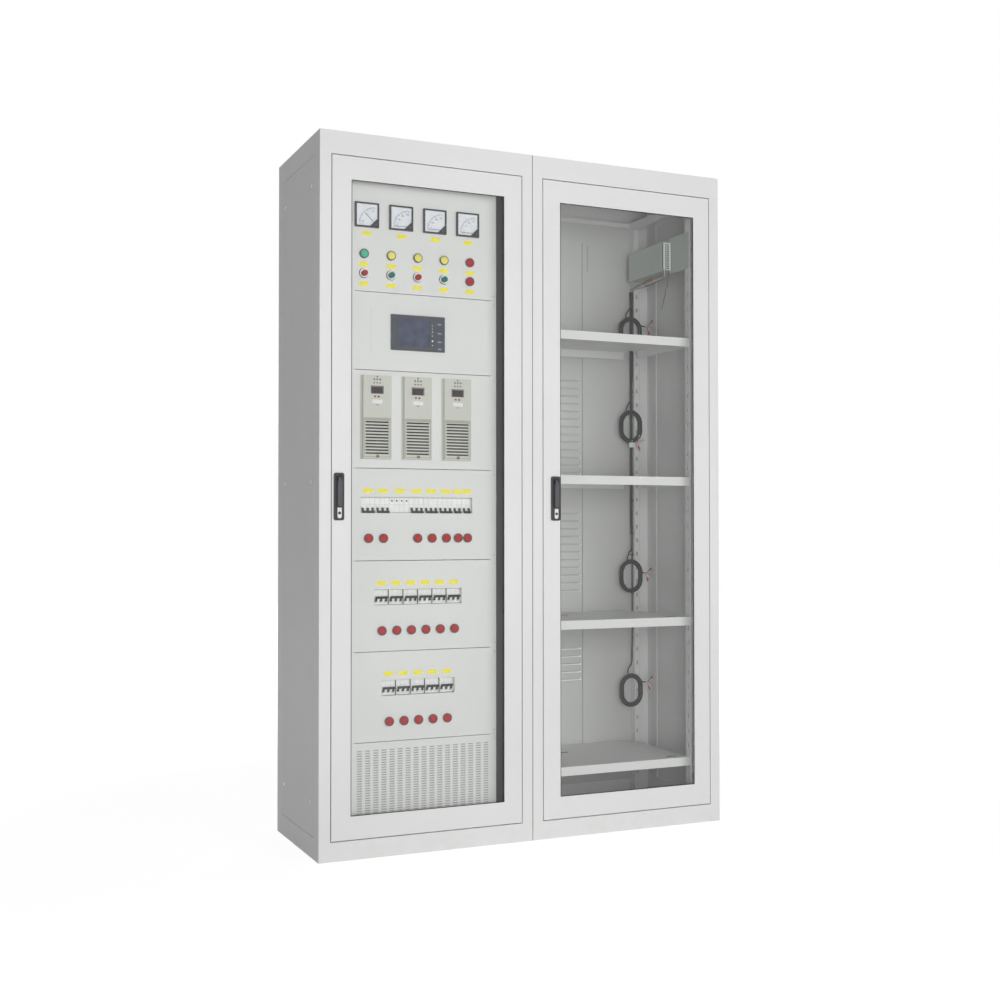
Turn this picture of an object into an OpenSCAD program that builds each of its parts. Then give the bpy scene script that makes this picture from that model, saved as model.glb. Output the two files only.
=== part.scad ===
// Rectifier battery charger in two joined sheet-steel bays with glazed doors.
// Left bay: meters, lamps, controller, three rectifier modules, three rows of breakers, vent.
// Right bay: battery shelves on perforated posts, a battery monitor and its coiled leads.
// X runs right, Y runs back, Z runs up; the origin is the bottom centre of the footprint.

/* [Cabinet] */
// Width of one bay
bay_w = 700; // [600:5:800]
// Depth of the cabinet
cab_d = 500; // [460:5:600]
// Height of the cabinet
cab_h = 2200; // [2180:5:2300]
// Thickness of the sheet steel
sheet_t = 2; // [1.5:0.5:3]
// Face of the frame beside a door
side_face = 35.5; // [34:0.5:45]
// Face of the frame above a door
top_face = 71; // [60:1:100]
// Face of the frame below a door
foot_face = 58; // [50:1:90]
// Depth of the frame section
frame_t = 30; // [29:0.5:34]
// Width of the lip that a door or a back panel closes against
lip_w = 15; // [14:0.5:18]
// Play round a panel that lies flush in its opening
panel_gap = 1.5; // [0.5:0.25:2]
// Margin of the side wall in front of and behind its panel
side_margin = 60; // [50:1:80]
// Margin of the side wall above and below its panel
side_margin_z = 65; // [50:1:90]
// Width of the rim under the roof plate
roof_rim = 12; // [10:1:18]
// Diameter of a floor anchor hole
anchor_d = 14; // [12:1:18]
// Anchor hole distance from the walls of a bay
anchor_inset = 75; // [60:1:100]
// Width of the cable entry in the floor
entry_w = 300; // [200:10:360]
// Depth of the cable entry in the floor
entry_d = 120; // [80:10:160]

/* [Doors] */
// Gap round a door
door_gap = 3; // [3:0.25:5]
// Depth of a door
door_t = 25; // [24:0.5:26]
// Width of a door stile
stile_w = 60; // [56:1:70]
// Width of the top and bottom of a door
door_rail_w = 70; // [60:1:90]
// Thickness of the glass
glass_t = 5; // [4:0.5:6]
// How far the glass runs behind the edge of its window
glass_lap = 8; // [6:0.5:9]
// Play round the edge of the glass
glass_play = 0.3; // [0.2:0.1:0.5]

/* [Door hinges] */
// Distance of a hinge pin from the face and the edge of its door
pin_inset = 6; // [5.5:0.25:6.5]
// Radius of a hinge pin
pin_r = 2.5; // [2:0.25:3]
// Radial play of every pin in its bore
pin_play = 0.05; // [0.03:0.01:0.08]
// Length of a hinge knuckle
knuckle_len = 30; // [24:1:40]
// Height of the arm that carries a pin
arm_h = 5; // [4:0.5:7]
// Distance of the outer hinges from the ends of a door
hinge_end = 180; // [140:5:260]

/* [Door handles] */
// Middle of the left door's handle from the edge of that door
left_handle_in = 21.5; // [21.5:0.5:24]
// Middle of the right door's handle from the edge of that door
right_handle_in = 42; // [36:0.5:42]
// Width of a handle plate
plate_w = 31; // [28:1:31]
// Height of a handle plate
plate_h = 143; // [140:1:160]
// Thickness of a handle plate
plate_t = 6; // [5:0.5:7]
// Width of the lever
lever_w = 14; // [12:0.5:18]
// Reach of the lever from the spindle
lever_len = 85; // [70:1:86]
// Thickness of the lever
lever_t = 8; // [7:0.5:10]
// Radius of the spindle
spindle_r = 5; // [4:0.25:5.5]
// Width of the lock button
lock_w = 13; // [10:0.5:15]
// Height of the lock button
lock_h = 32; // [26:1:33]
// Travel of the lock button
lock_travel = 3; // [2:0.25:3]

/* [Inner panels] */
// Distance of the inner panels from the front of the cabinet
panel_in = 50; // [46:1:56]
// Width of the inner panels
panel_w = 488; // [484:1:492]
// Gap between two inner panels
seam = 2; // [1:0.25:3]
// Distance of the inner panels from the top of the cabinet
stack_top_in = 104; // [102:1:112]
// Distance of the inner panels from the bottom of the cabinet
stack_foot_in = 100; // [92:1:106]
// Share of the meter panel in the height of the stack
share_meters = 368; // [355:1:380]
// Share of the controller panel
share_controller = 242; // [232:1:252]
// Share of the module panel
share_modules = 303; // [300:1:315]
// Share of the upper breaker panel
share_upper = 285; // [275:1:295]
// Share of the middle breaker panel
share_middle = 280; // [270:1:290]
// Share of the lower breaker panel
share_lower = 277; // [267:1:287]
// Share of the vent panel
share_vent = 241; // [225:1:255]
// Width of a post that carries panels or shelves
post_w = 20; // [18:1:22]
// Depth of a post
post_d = 30; // [26:1:34]

/* [Meters] */
// Width and height of a panel meter
meter_w = 76; // [72:1:80]
// Distance between meters
meter_pitch = 111; // [104:1:112]
// Middle of the meters below the top of their panel, as a share of the panel's height
meters_at = 0.36; // [0.3:0.01:0.42]
// Width of a meter's frame
meter_rim = 4.5; // [3.5:0.5:6]
// Standing height of a meter's frame
meter_t = 9; // [8:0.5:12]
// Length of a needle
needle_len = 47; // [40:1:48]
// Distance of a needle's pivot from the corner of its window
pivot_in = 8; // [7:0.5:10]

/* [Lamps and buttons] */
// Distance between lamps
lamp_pitch = 87.3; // [80:0.1:90]
// Upper row of lamps below the top of its panel, as a share of the panel's height
lamps_at = 0.685; // [0.67:0.005:0.7]
// Row of push buttons below the top of its panel, as a share of the panel's height
buttons_at = 0.85; // [0.84:0.005:0.88]
// Radius of a bezel
bezel_r = 14.5; // [13:0.5:16]
// Radius of a lamp lens
lens_r = 12; // [10:0.5:12]
// Radius of the neck behind a bezel
neck_r = 11; // [10.5:0.5:11.5]
// Radius of a button cap
cap_r = 9; // [7:0.5:9.5]
// Travel of a button
button_travel = 4; // [3:0.5:4.5]

/* [Controller] */
// Width of the controller
ctrl_w = 177; // [150:1:190]
// Height of the controller
ctrl_h = 111; // [90:1:120]
// Width of the raised plate behind the controller
back_plate_w = 304; // [290:1:320]
// Height of the raised plate behind the controller
back_plate_h = 138; // [130:1:150]
// Width of the controller's screen
lcd_w = 104; // [90:1:110]
// Height of the controller's screen
lcd_h = 86; // [70:1:90]

/* [Rectifier modules] */
// Width of a module's front
module_w = 99; // [90:1:110]
// Height of a module
module_h = 260; // [240:1:270]
// Distance between modules
module_pitch = 132.5; // [120:0.5:135]
// Depth of a module behind the panel
module_d = 250; // [200:5:300]
// Number of slots in a module's grille
module_slots = 11; // [8:1:13]

/* [Breakers] */
// Width of one breaker pole
pole_w = 15.9; // [15.7:0.1:16]
// Play between two breakers
breaker_play = 1; // [0.4:0.1:1.4]
// Height of the part of a breaker that shows in its window
nose_h = 46; // [44:0.5:50]
// Height of a breaker's body
breaker_h = 80; // [74:1:90]
// How far the breakers sit back from the front of their panel
breaker_in = 11; // [10:0.5:13]
// Breaker row below the top of its panel, in shares of the stack
share_row = 113; // [108:0.5:118]
// Circuit lamps below the middle of a breaker row, in shares of the stack
share_lamp_drop = 103; // [98:1:106]
// Angle of a lever from the middle of its travel
lever_angle = 36; // [30:1:38]

/* [Vent] */
// Columns of slots in the vent panel
vent_cols = 17; // [12:1:18]
// Rows of slots in the vent panel
vent_rows = 26; // [8:1:28]
// Width of a vent slot
slot_w = 16; // [12:0.5:20]
// Height of a vent slot
slot_h = 3.2; // [2.4:0.2:5]

/* [Battery bay] */
// Distance of the shelves from the side of the bay
shelf_inset = 88; // [84:1:92]
// Distance of the shelves' front edge from the front of the cabinet
shelf_in = 45; // [44:1:50]
// Height of the lowest shelf
shelf_z = 216; // [200:1:230]
// Room above the top shelf
top_room = 550; // [530:5:570]
// Height of a shelf's turned-down lip
shelf_lip = 29; // [24:1:34]
// Length of the slot for leads near the right front of a shelf
shelf_slot = 54; // [40:2:70]
// Distance between the holes of a perforated post
hole_pitch = 50; // [40:1:60]
// Width of a hole in a perforated post
hole_w = 8; // [6:0.5:10]
// Height of a hole in a perforated post
hole_h = 14; // [10:0.5:18]
// Distance of the bottom of the monitor plate from the top of the cabinet
monitor_drop = 307; // [300:1:315]
// Height of the monitor plate
monitor_plate_h = 125; // [115:1:130]
// Height of the battery monitor
monitor_h = 100; // [90:1:105]
// Length of the battery monitor
monitor_len = 249; // [240:1:255]
// Standing depth of the battery monitor
monitor_t = 34; // [28:1:38]

/* [Back panels] */
// Width of a louvre
louvre_w = 112; // [90:2:120]
// Distance between louvres
louvre_pitch = 28; // [24:1:32]
// Height of a louvre
louvre_h = 11; // [8:1:14]

/* [Battery leads] */
// Diameter of the bundled leads
trunk_d = 12; // [10:0.5:14]
// Diameter of one lead
lead_d = 5; // [4:0.25:6]
// Radius of a coil at the middle of its turns
coil_r = 39; // [34:1:42]
// Straight length between the two bends of a coil
coil_straight = 28; // [16:2:36]
// Thickness of a coil
coil_d = 18; // [14:1:22]

/* [Hidden] */

eps = 0.5;
front = -cab_d / 2;
back = cab_d / 2;
steel = [0.86, 0.87, 0.86];
shade_grey = [0.78, 0.79, 0.78];
black = [0.08, 0.08, 0.09];
chrome = [0.82, 0.83, 0.85];
cream = [0.93, 0.93, 0.9];

// Doors and their windows, measured from the left side of a bay
open_x = side_face;
open_w = bay_w - 2 * side_face;
open_z = foot_face;
open_h = cab_h - top_face - foot_face;
door_x = open_x + door_gap;
door_w = open_w - 2 * door_gap;
door_z = open_z + door_gap;
door_h = open_h - 2 * door_gap;
win_x = door_x + stile_w;
win_w = door_w - 2 * stile_w;
win_z = door_z + door_rail_w;
win_h = door_h - 2 * door_rail_w;
lip_y = front + frame_t - sheet_t;
pin_x = door_x + door_w - pin_inset;
pin_y = front + pin_inset;
hinge_zs = [door_z + hinge_end, door_z + door_h / 2 - knuckle_len / 2,
            door_z + door_h - hinge_end - knuckle_len];
arm_play = 1;
knuckle_lift = 0.3;

// Handles
handle_z = door_z + door_h / 2;
spindle_end = 16;
lock_end = 6;
spindle_up = plate_h / 2 - spindle_end;
lock_down = plate_h / 2 - lock_end;
plate_y = front - plate_t;
head_r = 9.5;
head_t = 2.5;
head_lift = 0.3;
head_y = plate_y - head_lift;
fork_in = 4.3;
fork_t = 3;
lever_pin_r = 1.5;
lever_pin_y = head_y - head_t - 2.7;
lever_lift = 0.5;
lock_play = 0.15;
lock_rest = 0.5;
lock_t = 6;
cam_t = 3;
cam_r = 8;

// Inner panels and what they carry
bay_mid = bay_w / 2;
panel_y = front + panel_in;
panel_back = panel_y + sheet_t;
panel_x = -bay_mid - panel_w / 2;
row_mid = -bay_mid - 22.4;
meters = [for (i = [0:3]) row_mid + (i - 1.5) * meter_pitch];
lamps = [for (i = [0:4]) row_mid + (i - 2) * lamp_pitch];
top_a = cab_h - stack_top_in;
bottom_g = stack_foot_in;
share_breakers = share_upper + share_middle + share_lower;
share_sum = share_meters + share_controller + share_modules + share_breakers + share_vent;
unit_h = (top_a - bottom_g) / share_sum;
seam_ab = top_a - share_meters * unit_h;
seam_bc = seam_ab - share_controller * unit_h;
seam_cd = seam_bc - share_modules * unit_h;
seam_de = seam_cd - share_upper * unit_h;
seam_ef = seam_de - share_middle * unit_h;
seam_fg = seam_ef - share_lower * unit_h;
meter_z = top_a - meters_at * share_meters * unit_h;
lamp_z = top_a - lamps_at * share_meters * unit_h;
button_z = top_a - buttons_at * share_meters * unit_h;
bezel_t = 6;
lens_edge = 1.5;
neck_len = 40;
hole_play = 0.25;
cap_play = 0.1;
cap_out = 7;
bore_rest = 2;
modules = [for (i = [-1:1]) row_mid - 2.6 + i * module_pitch];
module_z = (seam_bc + seam_cd) / 2 + 6;

// Breakers: poles of each one in a row, and the left end of the row
row_d = [3, 3, 4, 3, 3, 3, 2, 2];
row_e = [3, 3, 3, 3, 3, 3];
row_f = [3, 3, 3, 3, 3];
arrester = 2;
short_row_shift = 3.5;
row_d_x = row_mid - row_len(row_d) / 2;
row_e_x = row_mid - row_len(row_e) / 2 + short_row_shift;
row_f_x = row_mid - row_len(row_f) / 2 + short_row_shift;
row_d_z = seam_cd - share_row * unit_h;
row_e_z = seam_de - share_row * unit_h;
row_f_z = seam_ef - share_row * unit_h;
lamp_drop = share_lamp_drop * unit_h;
nose_y = panel_y + breaker_in;
nose_t = 22;
rail_t = 7.5;
rail_h = 35;
body_t = 47;
body_y = nose_y + nose_t;
rail_y = body_y + body_t;
pivot_depth = 2.5;
pivot_y = nose_y + pivot_depth;
pivot_drop = 11;
drum_r = 6.5;
drum_w = 8.2;
drum_play = 0.3;
groove_r = drum_r + 0.5;
shaft_r = 2;
shaft_over = 1.4;
arm_w = 5.6;
arm_t = 4.4;
lever_reach = 21;
bar_h = 6;
bar_t = 4.6;

// Battery bay
cross_rail_h = 30;
cross_rail_over = 3;
rail_z = open_z + open_h + cross_rail_over - cross_rail_h;
post_top = rail_z;
floor_t = 3;
shelf_l = shelf_inset;
shelf_r = bay_w - shelf_inset;
shelf_front = front + shelf_in;
shelf_back = back - 35;
rear_post_y = back - frame_t - post_d;
front_post_y = shelf_front;
notch_w = 32;
notch_d = 50;
shelf_slot_w = 9;
slot_in = 5;
slot_y = shelf_front + 112;
plate_2 = 2;
monitor_front = front + 166;
monitor_play = 0.1;
trunk_gap = 0.3;
trunk_x = shelf_r - trunk_gap - trunk_d / 2;
trunk_y = rear_post_y + 10;
shelf_pitch = (cab_h - top_room - shelf_z) / 3;
monitor_z = cab_h - monitor_drop;
coils_over_shelf = [188, 128, 199, 65];
coil_zs = [for (i = [3:-1:0]) shelf_z + i * shelf_pitch + coils_over_shelf[i]];
trunk_top = monitor_z - 25;
trunk_foot = coil_zs[3] + 136;
rib_off = 62;
rib_w = 36;
rib_d = 6;
rib_foot = 160;
rod_slot = 90;
coil_x = 590;
coil_y = 178;

// A box from one corner to the opposite one
module block(x0, x1, y0, y1, z0, z1) {
  translate([x0, y0, z0]) cube([x1 - x0, y1 - y0, z1 - z0]);
}

// A cylinder along X, centred on its length
module rod_x(x, y, z, r, len) {
  translate([x - len / 2, y, z]) rotate([0, 90, 0]) cylinder(r = r, h = len, $fn = 48);
}

// A cylinder along Y, from y0 to y1
module rod_y(x, y0, y1, z, r) {
  translate([x, y0, z]) rotate([-90, 0, 0]) cylinder(r = r, h = y1 - y0, $fn = 48);
}

// A rectangular ring in the XZ plane
module ring(x0, x1, y0, y1, z0, z1, left, right, foot, top) {
  difference() {
    block(x0, x1, y0, y1, z0, z1);
    block(x0 + left, x1 - right, y0 - eps, y1 + eps, z0 + foot, z1 - top);
  }
}

// Front or back surround of a bay: a channel section open to the inside, with a lip
module surround() {
  difference() {
    ring(0, bay_w, 0, frame_t, 0, cab_h, side_face, side_face, foot_face, top_face);
    ring(sheet_t, bay_w - sheet_t, sheet_t, frame_t + eps, sheet_t, cab_h - sheet_t,
         side_face - 2 * sheet_t, side_face - 2 * sheet_t,
         foot_face - 2 * sheet_t, top_face - 2 * sheet_t);
  }
  ring(open_x, open_x + open_w, frame_t - sheet_t, frame_t, open_z, open_z + open_h,
       lip_w, lip_w, lip_w, lip_w);
}

// Side wall of a bay with the opening for its panel, or whole where it divides the bays
module side_wall(open) {
  difference() {
    block(0, sheet_t, front, back, 0, cab_h);
    if (open)
      block(-eps, sheet_t + eps, front + side_margin, back - side_margin,
            side_margin_z, cab_h - side_margin_z);
  }
}

// Rim behind a side opening that its panel lies against
module side_rim() {
  difference() {
    block(sheet_t, 2 * sheet_t, front + side_margin - lip_w, back - side_margin + lip_w,
          side_margin_z - lip_w, cab_h - side_margin_z + lip_w);
    block(-eps, 2 * sheet_t + eps, front + side_margin + lip_w, back - side_margin - lip_w,
          side_margin_z + lip_w, cab_h - side_margin_z - lip_w);
  }
}

// Folded floor with anchor holes and a cable entry
module floor_plate() {
  difference() {
    block(sheet_t, bay_w - sheet_t, front + frame_t, back - frame_t, 0, floor_t);
    for (x = [anchor_inset, bay_w - anchor_inset], y = [front + anchor_inset, back - anchor_inset])
      translate([x, y, -eps]) cylinder(d = anchor_d, h = floor_t + 2 * eps, $fn = 48);
    block(bay_mid - entry_w / 2, bay_mid + entry_w / 2, -entry_d / 2, entry_d / 2,
          -eps, floor_t + eps);
  }
}

// Rim under the roof plate, on the four sides of a bay
module roof_rims() {
  difference() {
    block(sheet_t, bay_w - sheet_t, front + sheet_t, back - sheet_t,
          cab_h - 2 * sheet_t, cab_h - sheet_t);
    block(sheet_t + roof_rim, bay_w - sheet_t - roof_rim, front + frame_t + roof_rim,
          back - frame_t - roof_rim, cab_h - 2 * sheet_t - eps, cab_h);
  }
}

// Rails from front to back that the posts stand under
module cross_rails(xs) {
  for (x = xs)
    difference() {
      block(x, x + post_w, front + frame_t, back - frame_t, rail_z, rail_z + cross_rail_h);
      block(x + sheet_t, x + post_w - sheet_t, front + frame_t - eps, back - frame_t + eps,
            rail_z + sheet_t, rail_z + cross_rail_h + eps);
    }
}

// One welded bay frame; the dividing bay has a whole left wall and its panel on the right
module bay_frame(divides, post_xs) {
  translate([0, front, 0]) surround();
  translate([0, back, 0]) mirror([0, 1, 0]) surround();
  side_wall(!divides);
  translate([bay_w, 0, 0]) mirror([1, 0, 0]) side_wall(true);
  if (divides)
    translate([bay_w, 0, 0]) mirror([1, 0, 0]) side_rim();
  else
    side_rim();
  floor_plate();
  roof_rims();
  cross_rails(post_xs);
}

left_posts = [panel_x + bay_w, panel_x + bay_w + panel_w - post_w];
right_posts = [shelf_l - post_w, shelf_r];

module left_frame() {
  color(steel) translate([-bay_w, 0, 0]) bay_frame(false, left_posts);
}

module right_frame() {
  color(steel) bay_frame(true, right_posts);
}

// Removable side panel, flush in its wall
module side_panel() {
  block(0, sheet_t, front + side_margin + panel_gap, back - side_margin - panel_gap,
        side_margin_z + panel_gap, cab_h - side_margin_z - panel_gap);
}

module roof_plate() {
  block(sheet_t + panel_gap, bay_w - sheet_t - panel_gap, front + frame_t + panel_gap,
        back - frame_t - panel_gap, cab_h - sheet_t, cab_h);
}

module side_and_roof_panels() {
  color(shade_grey) {
    translate([-bay_w, 0, 0]) side_panel();
    translate([bay_w, 0, 0]) mirror([1, 0, 0]) side_panel();
    translate([-bay_w, 0, 0]) roof_plate();
    roof_plate();
  }
}

// One pressed louvre: a slot and the hood above it
module louvre_slot(z) {
  block(bay_mid - louvre_w / 2, bay_mid + louvre_w / 2, -eps, sheet_t + eps, z, z + louvre_h * 0.6);
}

module louvre_hood(z) {
  translate([bay_mid - louvre_w / 2, sheet_t, z + louvre_h * 0.6])
    rotate([90, 0, 90])
      linear_extrude(height = louvre_w)
        polygon([[-sheet_t, 0], [0, 0], [louvre_h * 0.7, -louvre_h * 0.6],
                 [louvre_h * 0.7 + 1.2, -louvre_h * 0.5], [0, sheet_t + 1], [-sheet_t, sheet_t + 1]]);
}

// Height of each block of louvres as a share of the cabinet, and its number of louvres
louvre_blocks = [[0.203, 5], [0.349, 11], [0.543, 13]];

// Folded rib that stiffens a back panel beside its louvres, with a slot for the rod of the catch
module back_rib(x) {
  difference() {
    block(x, x + rib_w, -rib_d, eps, rib_foot, cab_h - rib_foot);
    block(x + sheet_t, x + rib_w - sheet_t, -rib_d + sheet_t, 2 * eps,
          rib_foot - eps, cab_h - rib_foot + eps);
    block(x + rib_w / 2 - 4, x + rib_w / 2 + 4, -rib_d - eps, -rib_d + sheet_t + eps,
          cab_h - rib_foot - rod_slot - 12, cab_h - rib_foot - 12);
  }
}

module back_panel() {
  x0 = open_x + panel_gap;
  x1 = open_x + open_w - panel_gap;
  translate([0, back - frame_t + sheet_t, 0]) {
    difference() {
      block(x0, x1, 0, sheet_t, open_z + panel_gap, open_z + open_h - panel_gap);
      for (b = louvre_blocks, i = [0:b[1] - 1])
        louvre_slot(b[0] * cab_h + i * louvre_pitch);
    }
    for (b = louvre_blocks, i = [0:b[1] - 1])
      louvre_hood(b[0] * cab_h + i * louvre_pitch);
    back_rib(bay_mid + rib_off);
    back_rib(bay_mid - rib_off - rib_w);
  }
}

module back_panels() {
  color(steel) {
    translate([-bay_w, 0, 0]) back_panel();
    back_panel();
  }
}

// Arm and pin of each lift-off hinge, welded to the lip of the surround
module hinge_bracket(z) {
  block(pin_x - pin_inset / 2, pin_x + pin_inset / 4, pin_y, lip_y, z - arm_h, z);
  translate([pin_x, pin_y, z - arm_h]) cylinder(r = pin_r, h = arm_h + knuckle_len, $fn = 48);
}

module hinge_brackets() {
  color(chrome)
    for (x = [-bay_w, 0], z = hinge_zs)
      translate([x, 0, 0]) hinge_bracket(z);
}

// Door: front sheet, folded edges, window and knuckles; the back is open
module door(handle_in) {
  kr = pin_inset - sheet_t;
  difference() {
    union() {
      difference() {
        ring(door_x, door_x + door_w, front, front + door_t, door_z, door_z + door_h,
             stile_w, stile_w, door_rail_w, door_rail_w);
        ring(door_x + sheet_t, door_x + door_w - sheet_t, front + sheet_t, front + door_t + eps,
             door_z + sheet_t, door_z + door_h - sheet_t,
             stile_w - glass_lap - 2 * sheet_t, stile_w - glass_lap - 2 * sheet_t,
             door_rail_w - glass_lap - 2 * sheet_t, door_rail_w - glass_lap - 2 * sheet_t);
        block(win_x - glass_lap, win_x + win_w + glass_lap, front + sheet_t, front + door_t + eps,
              win_z - glass_lap, win_z + win_h + glass_lap);
      }
      for (z = hinge_zs)
        translate([pin_x, pin_y, z + knuckle_lift])
          cylinder(r = kr, h = knuckle_len - knuckle_lift, $fn = 48);
      for (z = hinge_zs)
        block(pin_x, pin_x + kr, front + 1, pin_y, z + knuckle_lift, z + knuckle_len);
      // Clips that hold the glass against the front sheet
      ring(win_x - glass_lap - sheet_t, win_x + win_w + glass_lap + sheet_t,
           front + sheet_t + glass_t + glass_play, front + sheet_t + glass_t + glass_play + 1.5,
           win_z - glass_lap - sheet_t, win_z + win_h + glass_lap + sheet_t,
           glass_lap + sheet_t - 1, glass_lap + sheet_t - 1, glass_lap + sheet_t - 1,
           glass_lap + sheet_t - 1);
    }
    for (z = hinge_zs) {
      translate([pin_x, pin_y, z - arm_h])
        cylinder(r = pin_r + pin_play, h = arm_h + knuckle_len + eps, $fn = 48);
      block(pin_x - pin_inset / 2 - arm_play, door_x + door_w + eps, pin_y - pin_r - arm_play,
            front + door_t + eps, z - arm_h - arm_play, z + knuckle_lift);
    }
    rod_y(door_x + handle_in, front - eps, front + sheet_t + eps, handle_z + spindle_up,
          spindle_r + 1);
  }
}

// The glass fills its channel to within the play
module glass() {
  block(win_x - glass_lap + glass_play, win_x + win_w + glass_lap - glass_play,
        front + sheet_t, front + sheet_t + glass_t,
        win_z - glass_lap + glass_play, win_z + win_h + glass_lap - glass_play);
}

// Outline of the lock button: a square head over a round foot
module lock_outline(grow) {
  translate([0, lock_w / 2]) circle(r = lock_w / 2 + grow, $fn = 48);
  translate([-lock_w / 2 - grow, lock_w / 2]) square([lock_w + 2 * grow, lock_h - lock_w / 2 + grow]);
}

// Plate with rounded ends, bored for the spindle and pierced for the lock button
module handle_plate() {
  corner = 6;
  translate([0, front, handle_z]) rotate([90, 0, 0])
    difference() {
      linear_extrude(height = plate_t)
        difference() {
          union() {
            square([plate_w, plate_h - 2 * corner], center = true);
            square([plate_w - 2 * corner, plate_h], center = true);
            for (x = [-1, 1], y = [-1, 1])
              translate([x * (plate_w / 2 - corner), y * (plate_h / 2 - corner)])
                circle(r = corner, $fn = 48);
          }
          translate([0, -lock_down]) lock_outline(lock_play);
        }
      translate([0, spindle_up, -eps])
        cylinder(r = spindle_r + pin_play, h = plate_t + 2 * eps, $fn = 48);
    }
}

// Spindle with its head, the fork for the lever, and the cam behind the door
module spindle() {
  z = handle_z + spindle_up;
  fork_y = lever_pin_y - 2.5;
  rod_y(0, head_y, front + frame_t + sheet_t + cam_t, z, spindle_r);
  rod_y(0, head_y - head_t, head_y, z, head_r);
  rod_y(0, front + frame_t + sheet_t, front + frame_t + sheet_t + cam_t, z, cam_r);
  difference() {
    for (s = [-1, 1])
      translate([s * (fork_in + fork_t / 2), 0, 0])
        block(-fork_t / 2, fork_t / 2, fork_y, head_y - head_t, z - 5, z + 5);
    rod_x(0, lever_pin_y, z, lever_pin_r + pin_play, 4 * fork_in);
  }
}

// Lever with its tongue and pin; it lies clear of the plate
module lever() {
  z = handle_z + spindle_up;
  y1 = plate_y - lever_lift;
  y0 = y1 - lever_t;
  tongue = fork_in - 0.3;
  top = -head_r - 1;
  rod_x(0, lever_pin_y, z, lever_pin_r, 2 * (fork_in + fork_t));
  rod_x(0, lever_pin_y, z, 2.5, 2 * tongue);
  block(-tongue, tongue, lever_pin_y - 2.5, lever_pin_y + 2.5, z + top - eps, z);
  translate([0, y1, z]) rotate([90, 0, 0])
    linear_extrude(height = y1 - y0) {
      translate([-lever_w / 2, -lever_len + lever_w / 2])
        square([lever_w, lever_len - lever_w / 2 + top]);
      translate([0, -lever_len + lever_w / 2]) circle(r = lever_w / 2, $fn = 48);
    }
}

// Lock button: it slides into the plate and frees the lever
module lock_button() {
  translate([0, front - lock_rest - lock_travel, handle_z]) rotate([90, 0, 0])
    translate([0, -lock_down, 0]) linear_extrude(height = lock_t) lock_outline(0);
}

left_handle_x = -bay_w + door_x + left_handle_in;
right_handle_x = door_x + right_handle_in;

module left_door() { color(steel) translate([-bay_w, 0, 0]) door(left_handle_in); }
module right_door() { color(steel) door(right_handle_in); }
module left_glass() { color([0.7, 0.8, 0.78, 0.3]) translate([-bay_w, 0, 0]) glass(); }
module right_glass() { color([0.7, 0.8, 0.78, 0.3]) glass(); }
module left_handle_plate() { color(black) translate([left_handle_x, 0, 0]) handle_plate(); }
module right_handle_plate() { color(black) translate([right_handle_x, 0, 0]) handle_plate(); }
module left_spindle() { color(black) translate([left_handle_x, 0, 0]) spindle(); }
module right_spindle() { color(black) translate([right_handle_x, 0, 0]) spindle(); }
module left_lever() { color([0.2, 0.2, 0.22]) translate([left_handle_x, 0, 0]) lever(); }
module right_lever() { color([0.2, 0.2, 0.22]) translate([right_handle_x, 0, 0]) lever(); }
module left_lock() { color(chrome) translate([left_handle_x, 0, 0]) lock_button(); }
module right_lock() { color(chrome) translate([right_handle_x, 0, 0]) lock_button(); }

// Channel post; the open side faces away from the shelves or panels
module post(x, y, open_right, holes) {
  inner = open_right ? x : x + post_w - sheet_t;
  difference() {
    block(x, x + post_w, y, y + post_d, floor_t, post_top);
    block(open_right ? x + sheet_t : x - eps, open_right ? x + post_w + eps : x + post_w - sheet_t,
          y + sheet_t, y + post_d - sheet_t, floor_t - eps, post_top + eps);
    if (holes)
      for (z = [floor_t + hole_pitch:hole_pitch:post_top - hole_pitch]) {
        block(x + post_w / 2 - hole_w / 2, x + post_w / 2 + hole_w / 2, y - eps, y + sheet_t + eps,
              z - hole_h / 2, z + hole_h / 2);
        block(inner - eps, inner + sheet_t + eps, y + post_d / 2 - hole_w / 2,
              y + post_d / 2 + hole_w / 2, z - hole_h / 2, z + hole_h / 2);
      }
  }
}

module rack_posts() {
  color(steel) {
    for (y = [panel_back, rear_post_y]) {
      post(left_posts[0] - bay_w, y, false, false);
      post(left_posts[1] - bay_w, y, true, false);
    }
    for (y = [front_post_y, rear_post_y]) {
      post(right_posts[0], y, false, true);
      post(right_posts[1], y, true, true);
    }
  }
}

// One inner panel between two seams, with its folded edges
module panel_sheet(z0, z1) {
  fold = 12;
  block(panel_x, panel_x + panel_w, panel_y, panel_back, z0 + seam / 2, z1 - seam / 2);
  for (z = [z0 + seam / 2, z1 - seam / 2 - sheet_t])
    block(panel_x + post_w + 1, panel_x + panel_w - post_w - 1, panel_back - eps,
          panel_back + fold, z, z + sheet_t);
}

function sum(v, n) = n <= 0 ? 0 : v[n - 1] + sum(v, n - 1);
function row_len(v) = pole_w * sum(v, len(v));
function mid_of(v, i) = pole_w * (sum(v, i) + v[i] / 2);

module row_window(x, v, z) {
  block(x - 1, x + row_len(v) + 1, panel_y - eps, panel_back + eps,
        z - nose_h / 2 - 1, z + nose_h / 2 + 1);
}

module circuit_lamp_holes(x, v, z) {
  for (i = [0:len(v) - 1])
    if (v[i] < 4)
      rod_y(x + mid_of(v, i), panel_y - eps, panel_back + eps, z - lamp_drop,
            neck_r + hole_play);
}

module breaker_panel(z0, z1, x, v, z) {
  difference() {
    panel_sheet(z0, z1);
    row_window(x, v, z);
    circuit_lamp_holes(x, v, z);
  }
}

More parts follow.
